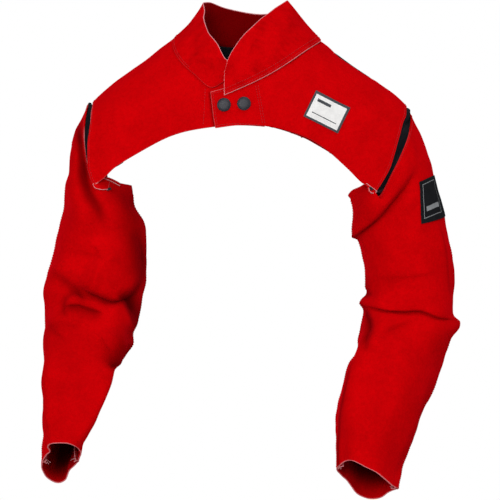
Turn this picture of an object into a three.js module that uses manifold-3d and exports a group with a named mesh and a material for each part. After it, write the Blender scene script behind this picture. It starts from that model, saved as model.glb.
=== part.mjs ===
// Welding cape sleeve: a split-leather bolero with a stand collar, two lapped front panels,
// a cotton back, and two leather sleeves hung from cotton gussets in the armholes.
// Millimetres. +Z is up, -Y is the front, +X is the wearer's left.
// The origin is the centre of the neck, level with the foot of the collar at its sides.
import * as THREE from "three";
import { mergeVertices } from "three/addons/utils/BufferGeometryUtils.js";
import Module from "manifold-3d";

const wasm = await Module();
wasm.setup();

// Wall thicknesses and the clearances between layers
const LEATHER = 1.6;
const COTTON = 1.0;
const LABEL = 0.7;
const LAYER_GAP = 0.8;
const LABEL_GAP = 0.35;
const LAYER = LEATHER + LAYER_GAP;

// The shoulders that the yoke is cut to fit. A ridge falls from the neck to each shoulder tip;
// from it the front and the back fall in quarter ellipses, and then straight down.
const FORM = {
  neckHalf: 112,
  neckZ: { right: 8, left: 1 },
  slope: { right: 0.74, left: 0.7 },
  sidesMeet: 90,
  ridgeY: 4,
  tipStart: 212,
  tipRound: 0.009,
  halfWidth: 235,
  front: { depth: 104, depthLoss: 38, foot: -112, footDrop: 60 },
  back: { depth: 102, depthLoss: 36, foot: -82, footDrop: 88 },
};

const clamp01 = (t) => Math.min(1, Math.max(0, t));
const mix = (a, b, t) => a + (b - a) * t;
const toRadians = THREE.MathUtils.degToRad;

function smooth(low, high, t) {
  const k = clamp01((t - low) / (high - low));
  return k * k * (3 - 2 * k);
}

// The yoke's form

// The left shoulder sits a little lower than the right one
function ridgeHeight(x) {
  const reach = Math.abs(x);
  const toLeft = smooth(-FORM.sidesMeet, FORM.sidesMeet, x);
  const neckZ = mix(FORM.neckZ.right, FORM.neckZ.left, toLeft);
  const slope = mix(FORM.slope.right, FORM.slope.left, toLeft);
  if (reach < FORM.neckHalf) {
    return neckZ + 0.5 * slope * (FORM.neckHalf - (reach * reach) / FORM.neckHalf);
  }
  const past = Math.max(0, reach - FORM.tipStart);
  return neckZ - slope * (reach - FORM.neckHalf) - FORM.tipRound * past * past;
}

// Depth and height of the quarter ellipse at x, on the front or the back
function archAt(x, side) {
  const share = (x / FORM.halfWidth) ** 2;
  const depth = side.depth - side.depthLoss * share;
  return { depth, height: ridgeHeight(x) - (side.foot - side.footDrop * share) };
}

// How far down the arch a height lies: 0 on the ridge, 1 at the ellipse's foot, more below it
function fallAt(x, z, side) {
  const { height } = archAt(x, side);
  const drop = Math.max(0, ridgeHeight(x) - z) / height;
  return drop < 1 ? Math.acos(1 - drop) / (Math.PI / 2) : drop;
}

// A point of the form: fall is positive on the front and negative on the back
function formPoint(x, fall) {
  const side = fall >= 0 ? FORM.front : FORM.back;
  const { depth, height } = archAt(x, side);
  const f = Math.abs(fall);
  const angle = (Math.min(f, 1) * Math.PI) / 2;
  const drop = f < 1 ? 1 - Math.cos(angle) : f;
  const y = FORM.ridgeY - Math.sign(fall) * depth * Math.sin(angle);
  return new THREE.Vector3(x, y, ridgeHeight(x) - height * drop);
}

function formNormal(x, fall) {
  const step = 0.02;
  const across = formPoint(x + 1, fall).sub(formPoint(x - 1, fall));
  const down = formPoint(x, fall + step).sub(formPoint(x, fall - step));
  return down.cross(across).normalize();
}

function onForm(x, fall, offset) {
  return formPoint(x, fall).addScaledVector(formNormal(x, fall), offset);
}

// Walls made from grids of points

// Rows of points: make(u, v) over counts of steps in u and v
function gridOf(stepsU, stepsV, make) {
  const rows = [];
  for (let i = 0; i <= stepsU; i++) {
    rows.push([]);
    for (let j = 0; j <= stepsV; j++) rows[i].push(make(i / stepsU, j / stepsV));
  }
  return rows;
}

function gridNormals(grid, round) {
  const last = grid.length - 1;
  const wide = grid[0].length - 1;
  const before = (j) => (j > 0 ? j - 1 : round ? wide - 1 : 0);
  const after = (j) => (j < wide ? j + 1 : round ? 1 : wide);
  return grid.map((row, i) =>
    row.map((_, j) => {
      const u = grid[Math.min(i + 1, last)][j].clone().sub(grid[Math.max(i - 1, 0)][j]);
      const v = row[after(j)].clone().sub(row[before(j)]);
      return u.cross(v).normalize();
    }),
  );
}

// A closed wall: the grid is its outer face, and the inner face lies one thickness behind it.
// With round set, the last column of the grid repeats the first.
function wallOf(grid, thickness, round = false) {
  const normals = gridNormals(grid, round);
  const rows = grid.length;
  const columns = grid[0].length;
  const positions = [];
  const faces = [];
  grid.forEach((row) => row.forEach((p) => positions.push(p.x, p.y, p.z)));
  grid.forEach((row, i) =>
    row.forEach((p, j) => {
      const q = p.clone().addScaledVector(normals[i][j], -thickness);
      positions.push(q.x, q.y, q.z);
    }),
  );
  const outer = (i, j) => i * columns + (round ? j % (columns - 1) : j);
  const inner = (i, j) => rows * columns + outer(i, j);
  const quad = (a, b, c, d) => faces.push(a, b, c, a, c, d);
  for (let i = 0; i < rows - 1; i++) {
    for (let j = 0; j < columns - 1; j++) {
      quad(outer(i, j), outer(i + 1, j), outer(i + 1, j + 1), outer(i, j + 1));
      quad(inner(i, j), inner(i, j + 1), inner(i + 1, j + 1), inner(i + 1, j));
    }
  }
  for (let j = 0; j < columns - 1; j++) {
    quad(outer(0, j + 1), inner(0, j + 1), inner(0, j), outer(0, j));
    quad(outer(rows - 1, j), inner(rows - 1, j), inner(rows - 1, j + 1), outer(rows - 1, j + 1));
  }
  for (let i = 0; i < rows - 1 && !round; i++) {
    quad(outer(i, 0), inner(i, 0), inner(i + 1, 0), outer(i + 1, 0));
    const j = columns - 1;
    quad(outer(i + 1, j), inner(i + 1, j), inner(i, j), outer(i, j));
  }
  const geometry = new THREE.BufferGeometry();
  geometry.setAttribute("position", new THREE.Float32BufferAttribute(positions, 3));
  geometry.setIndex(faces);
  return geometry;
}

// A smooth line through rows of x and z, as places on the form
function lineOnForm(rows, side) {
  const sign = side === FORM.front ? 1 : -1;
  const places = rows.map((r) => new THREE.Vector3(r.x, sign * fallAt(r.x, r.z, side), 0));
  return new THREE.CatmullRomCurve3(places);
}

// A four-sided patch on the form between its edges, which are curves of (x, fall)
function patchOnForm(edges, a, b) {
  const { bottom, top, start, end } = edges;
  const at = (curve, t) => curve.getPoint(clamp01(t));
  const p = at(bottom, a).multiplyScalar(1 - b).addScaledVector(at(top, a), b);
  p.addScaledVector(at(start, b), 1 - a).addScaledVector(at(end, b), a);
  p.addScaledVector(at(bottom, 0), -(1 - a) * (1 - b)).addScaledVector(at(bottom, 1), -a * (1 - b));
  p.addScaledVector(at(top, 0), -(1 - a) * b).addScaledVector(at(top, 1), -a * b);
  return { x: p.x, fall: p.y };
}

// Two curves of (x, fall) in a row, which meet in a corner at the share given
function cornered(first, second, share) {
  return {
    getPoint: (t) =>
      t < share ? first.getPoint(t / share) : second.getPoint((t - share) / (1 - share)),
  };
}

// Front panels. Edges are seen from the front: the hem runs from the armpit to the centre.
const CENTRE_LAP = { from: 74, to: 34, rise: LAYER };
const PANEL_STEPS = { across: 16, up: 14 };
const NECK_CORNER = 0.46;
const FRONT_RIGHT = {
  hem: [
    { x: -227, z: -214 },
    { x: -211, z: -203 },
    { x: -197, z: -190 },
    { x: -160, z: -167 },
    { x: -110, z: -144 },
    { x: -57, z: -132 },
    { x: -12, z: -128 },
    { x: 24, z: -130 },
  ],
  armhole: [
    { x: -227, z: -214 },
    { x: -233, z: -199 },
    { x: -236, z: -180 },
    { x: -236, z: -161 },
    { x: -234, z: -134 },
    { x: -232, z: -109 },
    { x: -232, z: -95 },
    { x: -233, z: -87 },
  ],
  neckline: [
    { x: -112, z: 7 },
    { x: -103, z: -17 },
    { x: -84, z: -41 },
    { x: -56, z: -59 },
    { x: -30, z: -53 },
    { x: -6, z: -44 },
    { x: 14, z: -39 },
  ],
  seamFall: -0.08,
  lapRise: 0,
};
const FRONT_LEFT = {
  hem: [
    { x: 191, z: -220 },
    { x: 179, z: -214 },
    { x: 168, z: -212 },
    { x: 145, z: -190 },
    { x: 115, z: -167 },
    { x: 74, z: -144 },
    { x: 32, z: -132 },
    { x: -12, z: -128 },
    { x: -47, z: -132 },
  ],
  armhole: [
    { x: 191, z: -220 },
    { x: 199, z: -208 },
    { x: 209, z: -187 },
    { x: 217, z: -162 },
    { x: 224, z: -138 },
    { x: 230, z: -119 },
    { x: 235, z: -106 },
    { x: 238, z: -97 },
  ],
  neckline: [
    { x: 103, z: 4 },
    { x: 62, z: -26 },
    { x: 22, z: -52 },
    { x: -8, z: -66 },
    { x: -32, z: -74 },
    { x: -54, z: -80 },
  ],
  seamFall: 0.03,
  lapRise: CENTRE_LAP.rise,
};

function frontPanelEdges(panel) {
  const neckline = lineOnForm(panel.neckline, FORM.front);
  const armhole = lineOnForm(panel.armhole, FORM.front);
  const hem = lineOnForm(panel.hem, FORM.front);
  const tip = armhole.getPoint(1);
  const neck = neckline.getPoint(0);
  tip.y = panel.seamFall;
  neck.y = panel.seamFall;
  const start = new THREE.CatmullRomCurve3([...armhole.points.slice(0, -1), tip]);
  const collarLine = new THREE.CatmullRomCurve3([neck, ...neckline.points.slice(1)]);
  return {
    bottom: hem,
    top: cornered(new THREE.LineCurve3(tip, neck), collarLine, NECK_CORNER),
    start,
    end: new THREE.LineCurve3(hem.getPoint(1), collarLine.getPoint(1)),
  };
}

// The left front rides over the right one near the centre
function lapRise(panel, x) {
  return panel.lapRise * smooth(CENTRE_LAP.from, CENTRE_LAP.to, x);
}

function frontPanelPoint(panel, edges, a, b) {
  const place = patchOnForm(edges, a, b);
  return onForm(place.x, place.fall, lapRise(panel, place.x));
}

function frontPanel(panel, mirrored) {
  const edges = frontPanelEdges(panel);
  const { across, up } = PANEL_STEPS;
  const grid = gridOf(across, up, (a, b) => frontPanelPoint(panel, edges, mirrored ? 1 - a : a, b));
  return wallOf(grid, LEATHER);
}

// Back panel: one piece of cotton from armhole to armhole, under the fronts and the collar
const BACK_OFFSET = -(LAYER + 1.4);
const BACK_STEPS = { across: 20, up: 12 };
const BACK = {
  hem: [
    { x: 200, z: -178 },
    { x: 188, z: -164 },
    { x: 150, z: -138 },
    { x: 100, z: -118 },
    { x: 50, z: -108 },
    { x: 0, z: -105 },
  ],
  armhole: [
    { x: 200, z: -178 },
    { x: 210, z: -165 },
    { x: 217, z: -148 },
    { x: 222, z: -128 },
    { x: 226, z: -108 },
    { x: 228, z: -92 },
    { x: 229, z: -84 },
  ],
  neckline: [
    { x: 106, z: 6 },
    { x: 88, z: 4 },
    { x: 46, z: 2 },
    { x: 0, z: 2 },
  ],
  seamFall: 0.13,
};

// Half of the back is laid out, and the other half mirrors it
function backPanelPlace(a, b) {
  const half = Math.abs(2 * a - 1);
  const sign = Math.sign(a - 0.5);
  const hem = lineOnForm(BACK.hem, FORM.back);
  const armhole = lineOnForm(BACK.armhole, FORM.back);
  const neckline = lineOnForm(BACK.neckline, FORM.back);
  const tip = armhole.getPoint(1);
  const neck = neckline.getPoint(0);
  tip.y = BACK.seamFall;
  neck.y = BACK.seamFall;
  const edges = {
    bottom: hem,
    top: cornered(
      new THREE.LineCurve3(tip, neck),
      new THREE.CatmullRomCurve3([neck, ...neckline.points.slice(1)]),
      NECK_CORNER,
    ),
    start: new THREE.CatmullRomCurve3([...armhole.points.slice(0, -1), tip]),
    end: new THREE.LineCurve3(hem.getPoint(1), neckline.getPoint(1)),
  };
  const place = patchOnForm(edges, 1 - half, b);
  return { x: sign * place.x, fall: place.fall };
}

function backPanel() {
  const { across, up } = BACK_STEPS;
  const grid = gridOf(across, up, (a, b) => {
    const place = backPanelPlace(1 - a, b);
    return onForm(place.x, place.fall, BACK_OFFSET);
  });
  return wallOf(grid, COTTON);
}

// Collar: ribs from the hidden end on the right front, round the back, to the tip on the left front.
// The foot lies on the yoke, its outer face raised by lift; flare bows a rib out (+) or in (-).
const COLLAR_STEPS = { round: 46, up: 5 };
const COLLAR_RIBS = [
  { footX: -6, footZ: -50, lift: 3, topX: 0, topY: -87, topZ: -26, flare: 0, back: false },
  { footX: -30, footZ: -59, lift: 3, topX: -18, topY: -90, topZ: -31, flare: 0, back: false },
  { footX: -51, footZ: -68, lift: 3, topX: -31, topY: -92, topZ: -32, flare: 0, back: false },
  { footX: -77, footZ: -53, lift: 3, topX: -45, topY: -86, topZ: -8, flare: 1, back: false },
  { footX: -96, footZ: -36, lift: 3, topX: -57, topY: -72, topZ: 8, flare: 0, back: false },
  { footX: -109, footZ: -18, lift: 3, topX: -66, topY: -50, topZ: 25, flare: -1, back: false },
  { footX: -117, footZ: -2, lift: 3, topX: -72, topY: -20, topZ: 47, flare: -2, back: false },
  { footX: -115, footZ: 7, lift: 3, topX: -72, topY: -4, topZ: 57, flare: -2, back: false },
  { footX: -107, footZ: 0, lift: 3, topX: -70, topY: 12, topZ: 63, flare: -2, back: true },
  { footX: -78, footZ: -7, lift: 1.2, topX: -57, topY: 37, topZ: 67, flare: -2, back: true },
  { footX: -40, footZ: -9, lift: 0.8, topX: -34, topY: 50, topZ: 60, flare: -3, back: true },
  { footX: 0, footZ: -9, lift: 0.8, topX: -3, topY: 55, topZ: 54, flare: -3, back: true },
  { footX: 40, footZ: -9, lift: 0.8, topX: 28, topY: 48, topZ: 51, flare: -3, back: true },
  { footX: 78, footZ: -8, lift: 1.2, topX: 49, topY: 30, topZ: 55, flare: -2, back: true },
  { footX: 104, footZ: -2, lift: 3.4, topX: 58, topY: 10, topZ: 62, flare: 0, back: true },
  { footX: 110, footZ: 3, lift: 3.4, topX: 58, topY: -10, topZ: 63, flare: 1, back: false },
  { footX: 108, footZ: -2, lift: 3.8, topX: 50, topY: -26, topZ: 57, flare: 2, back: false },
  { footX: 84, footZ: -18, lift: 3, topX: 34, topY: -50, topZ: 44, flare: 3, back: false },
  { footX: 60, footZ: -36, lift: 4, topX: 16, topY: -68, topZ: 27, flare: 4, back: false },
  { footX: 36, footZ: -52, lift: 5.2, topX: -4, topY: -82, topZ: 8, flare: 4, back: false },
  { footX: 12, footZ: -65, lift: 5.2, topX: -20, topY: -91, topZ: -14, flare: 3, back: false },
  { footX: -12, footZ: -76, lift: 5.2, topX: -29, topY: -97, topZ: -32, flare: 2, back: false },
  { footX: -34, footZ: -85, lift: 5.2, topX: -34, topY: -100, topZ: -50, flare: 1, back: false },
];

function collarLines() {
  const feet = COLLAR_RIBS.map((rib) => {
    const side = rib.back ? FORM.back : FORM.front;
    const fall = (rib.back ? -1 : 1) * fallAt(rib.footX, rib.footZ, side);
    return onForm(rib.footX, fall, rib.lift);
  });
  const tops = COLLAR_RIBS.map((rib) => new THREE.Vector3(rib.topX, rib.topY, rib.topZ));
  const flares = COLLAR_RIBS.map((rib) => new THREE.Vector3(rib.flare, 0, 0));
  const line = (points) => new THREE.CatmullRomCurve3(points);
  return { foot: line(feet), top: line(tops), flare: line(flares) };
}

function collar() {
  const { foot, top, flare } = collarLines();
  const { round, up } = COLLAR_STEPS;
  const grid = gridOf(up, round, (b, a) => {
    const low = foot.getPoint(a);
    const high = top.getPoint(a);
    const outward = new THREE.Vector3(low.x, low.y - FORM.ridgeY, 0).normalize();
    const bow = flare.getPoint(a).x * 4 * b * (1 - b);
    return low.lerp(high, b).addScaledVector(outward, bow);
  });
  return wallOf(grid, LEATHER);
}

// Sleeves. The top loop is the armhole seam, from corner to corner, and the free edge under the arm.
// turn: 0 outer, 90 front, 180 inner, 270 back. A section gives the sleeve's reach each way;
// rise is its slope towards the front, and cant its slope towards the wearer's left.
const SLEEVE_STEPS = { along: 24, round: 27 };
const SLEEVE_RIGHT = {
  corners: { front: 76, back: -80 },
  swell: 9,
  loop: [
    { turn: 0, x: -239, y: 4, z: -88 },
    { turn: 25, x: -241, y: -28, z: -103 },
    { turn: 45, x: -242, y: -52, z: -130 },
    { turn: 58, x: -242, y: -63, z: -158 },
    { turn: 70, x: -237, y: -67, z: -196 },
    { turn: 80, x: -229, y: -67, z: -218 },
    { turn: 125, x: -205, y: -40, z: -221 },
    { turn: 180, x: -177, y: 8, z: -211 },
    { turn: 235, x: -194, y: 50, z: -209 },
    { turn: 275, x: -215, y: 66, z: -189 },
    { turn: 295, x: -230, y: 67, z: -160 },
    { turn: 315, x: -241, y: 55, z: -132 },
    { turn: 337, x: -241, y: 32, z: -104 },
  ],
  sections: [
    { z: -234, outer: -277, inner: -170, front: -72, back: 80, rise: 0, cant: -0.15 },
    { z: -270, outer: -284, inner: -155, front: -72, back: 82, rise: 0, cant: 0 },
    { z: -309, outer: -293, inner: -154, front: -70, back: 84, rise: 0, cant: 0 },
    { z: -347, outer: -304, inner: -153, front: -68, back: 86, rise: 0, cant: 0 },
    { z: -371, outer: -307, inner: -156, front: -68, back: 84, rise: 0.05, cant: 0 },
    { z: -393, outer: -306, inner: -160, front: -74, back: 78, rise: 0.12, cant: 0 },
    { z: -429, outer: -306, inner: -168, front: -88, back: 66, rise: 0.25, cant: 0 },
    { z: -472, outer: -306, inner: -184, front: -110, back: 40, rise: 0.36, cant: 0 },
    { z: -528, outer: -301, inner: -211, front: -146, back: 0, rise: 0.48, cant: 0 },
    { z: -577, outer: -296, inner: -229, front: -172, back: -46, rise: 0.57, cant: 0 },
    { z: -617, outer: -296, inner: -239, front: -192, back: -88, rise: 0.63, cant: 0 },
  ],
};
const SLEEVE_LEFT = {
  corners: { front: 106, back: -106 },
  swell: 5,
  loop: [
    { turn: 0, x: 244, y: 4, z: -104 },
    { turn: 30, x: 243, y: -26, z: -117 },
    { turn: 55, x: 236, y: -56, z: -143 },
    { turn: 75, x: 226, y: -67, z: -166 },
    { turn: 95, x: 211, y: -71, z: -196 },
    { turn: 115, x: 191, y: -71, z: -231 },
    { turn: 145, x: 171, y: -45, z: -217 },
    { turn: 180, x: 152, y: 2, z: -222 },
    { turn: 215, x: 170, y: 46, z: -215 },
    { turn: 245, x: 209, y: 66, z: -189 },
    { turn: 270, x: 228, y: 68, z: -165 },
    { turn: 300, x: 241, y: 57, z: -140 },
    { turn: 330, x: 245, y: 32, z: -117 },
  ],
  sections: [
    { z: -240, outer: 289, inner: 156, front: -78, back: 80, rise: 0, cant: 0.08 },
    { z: -270, outer: 297, inner: 159, front: -76, back: 82, rise: 0, cant: 0 },
    { z: -309, outer: 305, inner: 170, front: -74, back: 84, rise: 0, cant: 0 },
    { z: -347, outer: 309, inner: 177, front: -74, back: 86, rise: 0, cant: 0 },
    { z: -384, outer: 308, inner: 173, front: -76, back: 84, rise: 0.04, cant: 0 },
    { z: -404, outer: 306, inner: 173, front: -82, back: 78, rise: 0.1, cant: 0 },
    { z: -436, outer: 302, inner: 167, front: -92, back: 64, rise: 0.24, cant: -0.05 },
    { z: -474, outer: 292, inner: 152, front: -106, back: 36, rise: 0.38, cant: -0.1 },
    { z: -532, outer: 265, inner: 133, front: -134, back: -6, rise: 0.54, cant: -0.16 },
    { z: -588, outer: 240, inner: 126, front: -156, back: -56, rise: 0.64, cant: -0.22 },
    { z: -640, outer: 216, inner: 125, front: -168, back: -92, rise: 0.75, cant: -0.2 },
  ],
};

// Folds are seen from the front: a line from (x1, z1) to (x2, z2) that sags by bow at its middle.
// Above it the leather bulges by lift and droops by hang, and along it the leather sinks.
// side is 1 for a fold on the front of the sleeve and -1 for one on its back.
SLEEVE_RIGHT.folds = [
  { x1: -255, z1: -150, x2: -205, z2: -292, bow: -8, width: 30, lift: 7, sink: 9, hang: 0, side: 1 },
  { x1: -286, z1: -352, x2: -154, z2: -382, bow: 6, width: 30, lift: 9, sink: 9, hang: 9, side: 1 },
  { x1: -272, z1: -392, x2: -200, z2: -402, bow: 2, width: 20, lift: 4, sink: 5, hang: 3, side: 1 },
  { x1: -206, z1: -414, x2: -168, z2: -478, bow: 6, width: 26, lift: 9, sink: 6, hang: 4, side: 1 },
  { x1: -300, z1: -380, x2: -160, z2: -376, bow: 8, width: 34, lift: 7, sink: 8, hang: 6, side: -1 },
  { x1: -250, z1: -260, x2: -168, z2: -300, bow: 6, width: 34, lift: 5, sink: 5, hang: 0, side: -1 },
];
SLEEVE_LEFT.folds = [
  { x1: 250, z1: -190, x2: 156, z2: -288, bow: 6, width: 26, lift: 9, sink: 8, hang: 5, side: 1 },
  { x1: 164, z1: -389, x2: 324, z2: -434, bow: -8, width: 24, lift: 12, sink: 8, hang: 6, side: 1 },
  { x1: 178, z1: -402, x2: 172, z2: -452, bow: 0, width: 20, lift: 6, sink: 6, hang: 0, side: 1 },
  { x1: 168, z1: -400, x2: 312, z2: -408, bow: 8, width: 30, lift: 7, sink: 8, hang: 6, side: -1 },
  { x1: 190, z1: -290, x2: 296, z2: -262, bow: 6, width: 34, lift: 5, sink: 5, hang: 0, side: -1 },
];

function sectionPoint(row, turn) {
  const x = ((row.outer - row.inner) / 2) * Math.cos(turn);
  const y = ((row.front - row.back) / 2) * Math.sin(turn);
  const z = row.z - row.rise * y + row.cant * x;
  return new THREE.Vector3((row.outer + row.inner) / 2 + x, (row.front + row.back) / 2 + y, z);
}

const loopCurves = new Map();

// The point of the top loop at a turn: the loop's rows are evenly spaced on the curve
function loopPoint(loop, turn) {
  if (!loopCurves.has(loop)) {
    const points = loop.map((r) => new THREE.Vector3(r.x, r.y, r.z));
    loopCurves.set(loop, new THREE.CatmullRomCurve3(points, true));
  }
  const degrees = THREE.MathUtils.euclideanModulo(THREE.MathUtils.radToDeg(turn), 360);
  const turns = [...loop.map((r) => r.turn), 360];
  const row = turns.findIndex((t, i) => degrees >= t && degrees < turns[i + 1]);
  const share = (degrees - turns[row]) / (turns[row + 1] - turns[row]);
  return loopCurves.get(loop).getPoint((row + share) / loop.length);
}

// The sleeve before its folds: along runs from 0 at the top loop to 1 at the cuff.
// Halfway from the loop to the first section, the sleeve head swells outward.
function sleeveBase(sleeve, along, turn) {
  const points = sleeve.sections.map((row) => sectionPoint(row, turn));
  const start = loopPoint(sleeve.loop, turn);
  const head = start.clone().lerp(points[0], 0.5);
  head.x += sleeve.swell * Math.max(0, Math.cos(turn)) * Math.sign(sleeve.sections[0].outer);
  return new THREE.CatmullRomCurve3([start, head, ...points]).getPoint(along);
}

function sleeveNormal(sleeve, along, turn) {
  const step = 0.004;
  const low = Math.max(0, along - step);
  const high = Math.min(1, along + step);
  const down = sleeveBase(sleeve, high, turn).sub(sleeveBase(sleeve, low, turn));
  const round = sleeveBase(sleeve, along, turn + 0.02).sub(sleeveBase(sleeve, along, turn - 0.02));
  return down.cross(round).normalize().multiplyScalar(-Math.sign(sleeve.sections[0].outer));
}

function foldShift(fold, point, normal) {
  const length = Math.hypot(fold.x2 - fold.x1, fold.z2 - fold.z1);
  const alongX = (fold.x2 - fold.x1) / length;
  const alongZ = (fold.z2 - fold.z1) / length;
  const fromX = point.x - fold.x1;
  const fromZ = point.z - fold.z1;
  const share = (fromX * alongX + fromZ * alongZ) / length;
  const sag = fold.bow * 4 * share * (1 - share);
  const up = Math.sign(alongX) * (fromZ * alongX - fromX * alongZ) + sag;
  const fade = smooth(-0.08, 0.16, share) * (1 - smooth(0.84, 1.08, share));
  const facing = smooth(-0.3, 0.4, -fold.side * normal.y);
  const ridge = Math.exp(-(((up / fold.width - 0.6) / 0.5) ** 2)) * fade * facing;
  const valley = Math.exp(-(((up / fold.width + 0.05) / 0.3) ** 2)) * fade * facing;
  const shift = normal.clone().multiplyScalar(fold.lift * ridge - fold.sink * valley);
  shift.z -= fold.hang * ridge;
  return shift;
}

// The seam at the armhole holds the leather flat, so the folds grow from there
const FOLDS_FROM = 0.12;
function sleevePoint(sleeve, along, turn) {
  const base = sleeveBase(sleeve, along, turn);
  const normal = sleeveNormal(sleeve, along, turn);
  const grown = smooth(0, FOLDS_FROM, along);
  const moved = base.clone();
  sleeve.folds.forEach((fold) => moved.addScaledVector(foldShift(fold, base, normal), grown));
  return moved;
}

// Going round from the outer side, the front comes first on the right and the back on the left
function sleeveWall(sleeve) {
  const way = -Math.sign(sleeve.sections[0].outer) * 2 * Math.PI;
  const { along, round } = SLEEVE_STEPS;
  return wallOf(gridOf(along, round, (a, r) => sleevePoint(sleeve, a, way * r)), LEATHER, true);
}

// Gussets: cotton strips that run from the front of the armpit over the shoulder to its back,
// under the edge of the yoke and under the edge of the sleeve
const GUSSET = {
  steps: 24,
  tuck: 6,
  underFront: -(LAYER + 0.3),
  underBack: BACK_OFFSET - COTTON - 1.6,
  backFrom: 0.3,
  clearFront: 2,
  clearBack: 6,
  underSleeve: -(LAYER + 1.1),
};

// Yoke edge of an armhole as places on the form, from the front corner to the back one
function armholeLine(panel) {
  const way = Math.sign(panel.armhole[0].x);
  const front = lineOnForm(panel.armhole, FORM.front).points.slice(0, -1);
  const backRows = BACK.armhole.map((r) => ({ x: way * r.x, z: r.z }));
  const back = lineOnForm(backRows, FORM.back).points.slice(0, -1).reverse();
  const tip = new THREE.Vector3(panel.armhole.at(-1).x, 0, 0);
  return cornered(
    new THREE.CatmullRomCurve3([...front, tip]),
    new THREE.CatmullRomCurve3([tip, ...back]),
    0.5,
  );
}

function gussetWall(panel, sleeve) {
  const line = armholeLine(panel);
  const way = Math.sign(panel.armhole[0].x);
  const rankPoint = (rank, share) => {
    if (rank < 2) {
      const place = line.getPoint(share);
      const toBack = smooth(GUSSET.backFrom, GUSSET.backFrom + 0.12, share);
      const clear = mix(GUSSET.clearFront, GUSSET.clearBack, smooth(0.5, 0.65, share));
      const x = place.x + way * (rank === 1 ? clear : -GUSSET.tuck);
      return onForm(x, place.y, mix(GUSSET.underFront, GUSSET.underBack, toBack));
    }
    const { front, back } = sleeve.corners;
    const turn = toRadians(share < 0.5 ? front * (1 - 2 * share) : back * (2 * share - 1));
    const edge = sleeveBase(sleeve, 0, turn);
    const run = sleevePoint(sleeve, 1 / SLEEVE_STEPS.along, turn).sub(edge);
    const under = sleeveBase(sleeve, 0, turn + 0.05).sub(sleeveBase(sleeve, 0, turn - 0.05));
    under.cross(run).normalize().multiplyScalar(way * GUSSET.underSleeve);
    const tuck = rank === 3 ? Math.min(0.6, GUSSET.tuck / run.length()) : 0;
    return edge.addScaledVector(run, tuck).add(under);
  };
  const lastRank = 3;
  const grid = gridOf(lastRank, GUSSET.steps, (rank, share) =>
    rankPoint(Math.round(rank * lastRank), way > 0 ? share : 1 - share),
  );
  return wallOf(grid, COTTON);
}

// Snaps: a domed cap on the placket, its post through both fronts, and a plain disc behind
const SNAP = { capRadius: 9.8, capHeight: 3.4, rim: 0.9, postRadius: 2.3, discRadius: 6.5, disc: 1.2 };
const SNAP_HOLE = 2.7;
const SNAP_SEAT = 0.35;
const SNAP_SEGMENTS = 16;
const SNAPS = [
  { name: "snap_outer", x: -34.7, z: -98.5 },
  { name: "snap_inner", x: -5.7, z: -97 },
];

// Turns a solid made along +Y to stand out from the form at x, z
function standOut(geometry, x, z) {
  const fall = fallAt(x, z, FORM.front);
  const turn = new THREE.Quaternion();
  turn.setFromUnitVectors(new THREE.Vector3(0, 1, 0), formNormal(x, fall));
  const at = formPoint(x, fall);
  return geometry.applyQuaternion(turn).translate(at.x, at.y, at.z);
}

function snapGeometry({ x, z }) {
  const foot = CENTRE_LAP.rise + SNAP_SEAT;
  const back = -LEATHER - SNAP_SEAT;
  const profile = [
    [0, back - SNAP.disc],
    [SNAP.discRadius, back - SNAP.disc],
    [SNAP.discRadius, back],
    [SNAP.postRadius, back],
    [SNAP.postRadius, foot],
    [SNAP.capRadius, foot],
    [SNAP.capRadius, foot + SNAP.rim],
    [SNAP.capRadius * 0.86, foot + SNAP.capHeight * 0.62],
    [SNAP.capRadius * 0.5, foot + SNAP.capHeight * 0.92],
    [0, foot + SNAP.capHeight],
  ];
  const points = profile.map(([r, h]) => new THREE.Vector2(r, h));
  return standOut(new THREE.LatheGeometry(points, SNAP_SEGMENTS), x, z);
}

function toManifold(geometry) {
  const bare = new THREE.BufferGeometry();
  bare.setAttribute("position", geometry.getAttribute("position"));
  bare.setIndex(geometry.getIndex());
  const merged = mergeVertices(bare, 1e-4);
  const mesh = new wasm.Mesh({
    numProp: 3,
    vertProperties: new Float32Array(merged.getAttribute("position").array),
    triVerts: new Uint32Array(merged.getIndex().array),
  });
  return new wasm.Manifold(mesh);
}

function fromManifold(solid) {
  const mesh = solid.getMesh();
  const geometry = new THREE.BufferGeometry();
  geometry.setAttribute("position", new THREE.BufferAttribute(mesh.vertProperties, 3));
  geometry.setIndex(new THREE.BufferAttribute(mesh.triVerts, 1));
  return geometry;
}

function withSnapHoles(geometry) {
  let solid = toManifold(geometry);
  SNAPS.forEach(({ x, z }) => {
    const drill = new THREE.CylinderGeometry(SNAP_HOLE, SNAP_HOLE, 30, SNAP_SEGMENTS);
    solid = solid.subtract(toManifold(standOut(drill, x, z)));
  });
  return fromManifold(solid);
}

// Chest patch: a blank rectangle laid askew on the left front
const CHEST_PATCH = { x: 115, z: -108, width: 56, height: 42, angle: -26, steps: 6 };

function chestPatch() {
  const { x, z, width, height, angle, steps } = CHEST_PATCH;
  const cos = Math.cos(toRadians(angle));
  const sin = Math.sin(toRadians(angle));
  const grid = gridOf(steps, steps, (u, v) => {
    const right = (u - 0.5) * width;
    const up = (v - 0.5) * height;
    const atX = x + right * cos - up * sin;
    const atZ = z + right * sin + up * cos;
    return onForm(atX, fallAt(atX, atZ, FORM.front), LABEL_GAP + LABEL);
  });
  return wallOf(grid, LABEL);
}

// Sleeve label: a blank woven rectangle on the outer front of the left sleeve
const SLEEVE_LABEL = { top: 0.112, bottom: 0.246, turnFrom: -2, turnTo: 48, steps: 7, gap: 0.6 };

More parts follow.
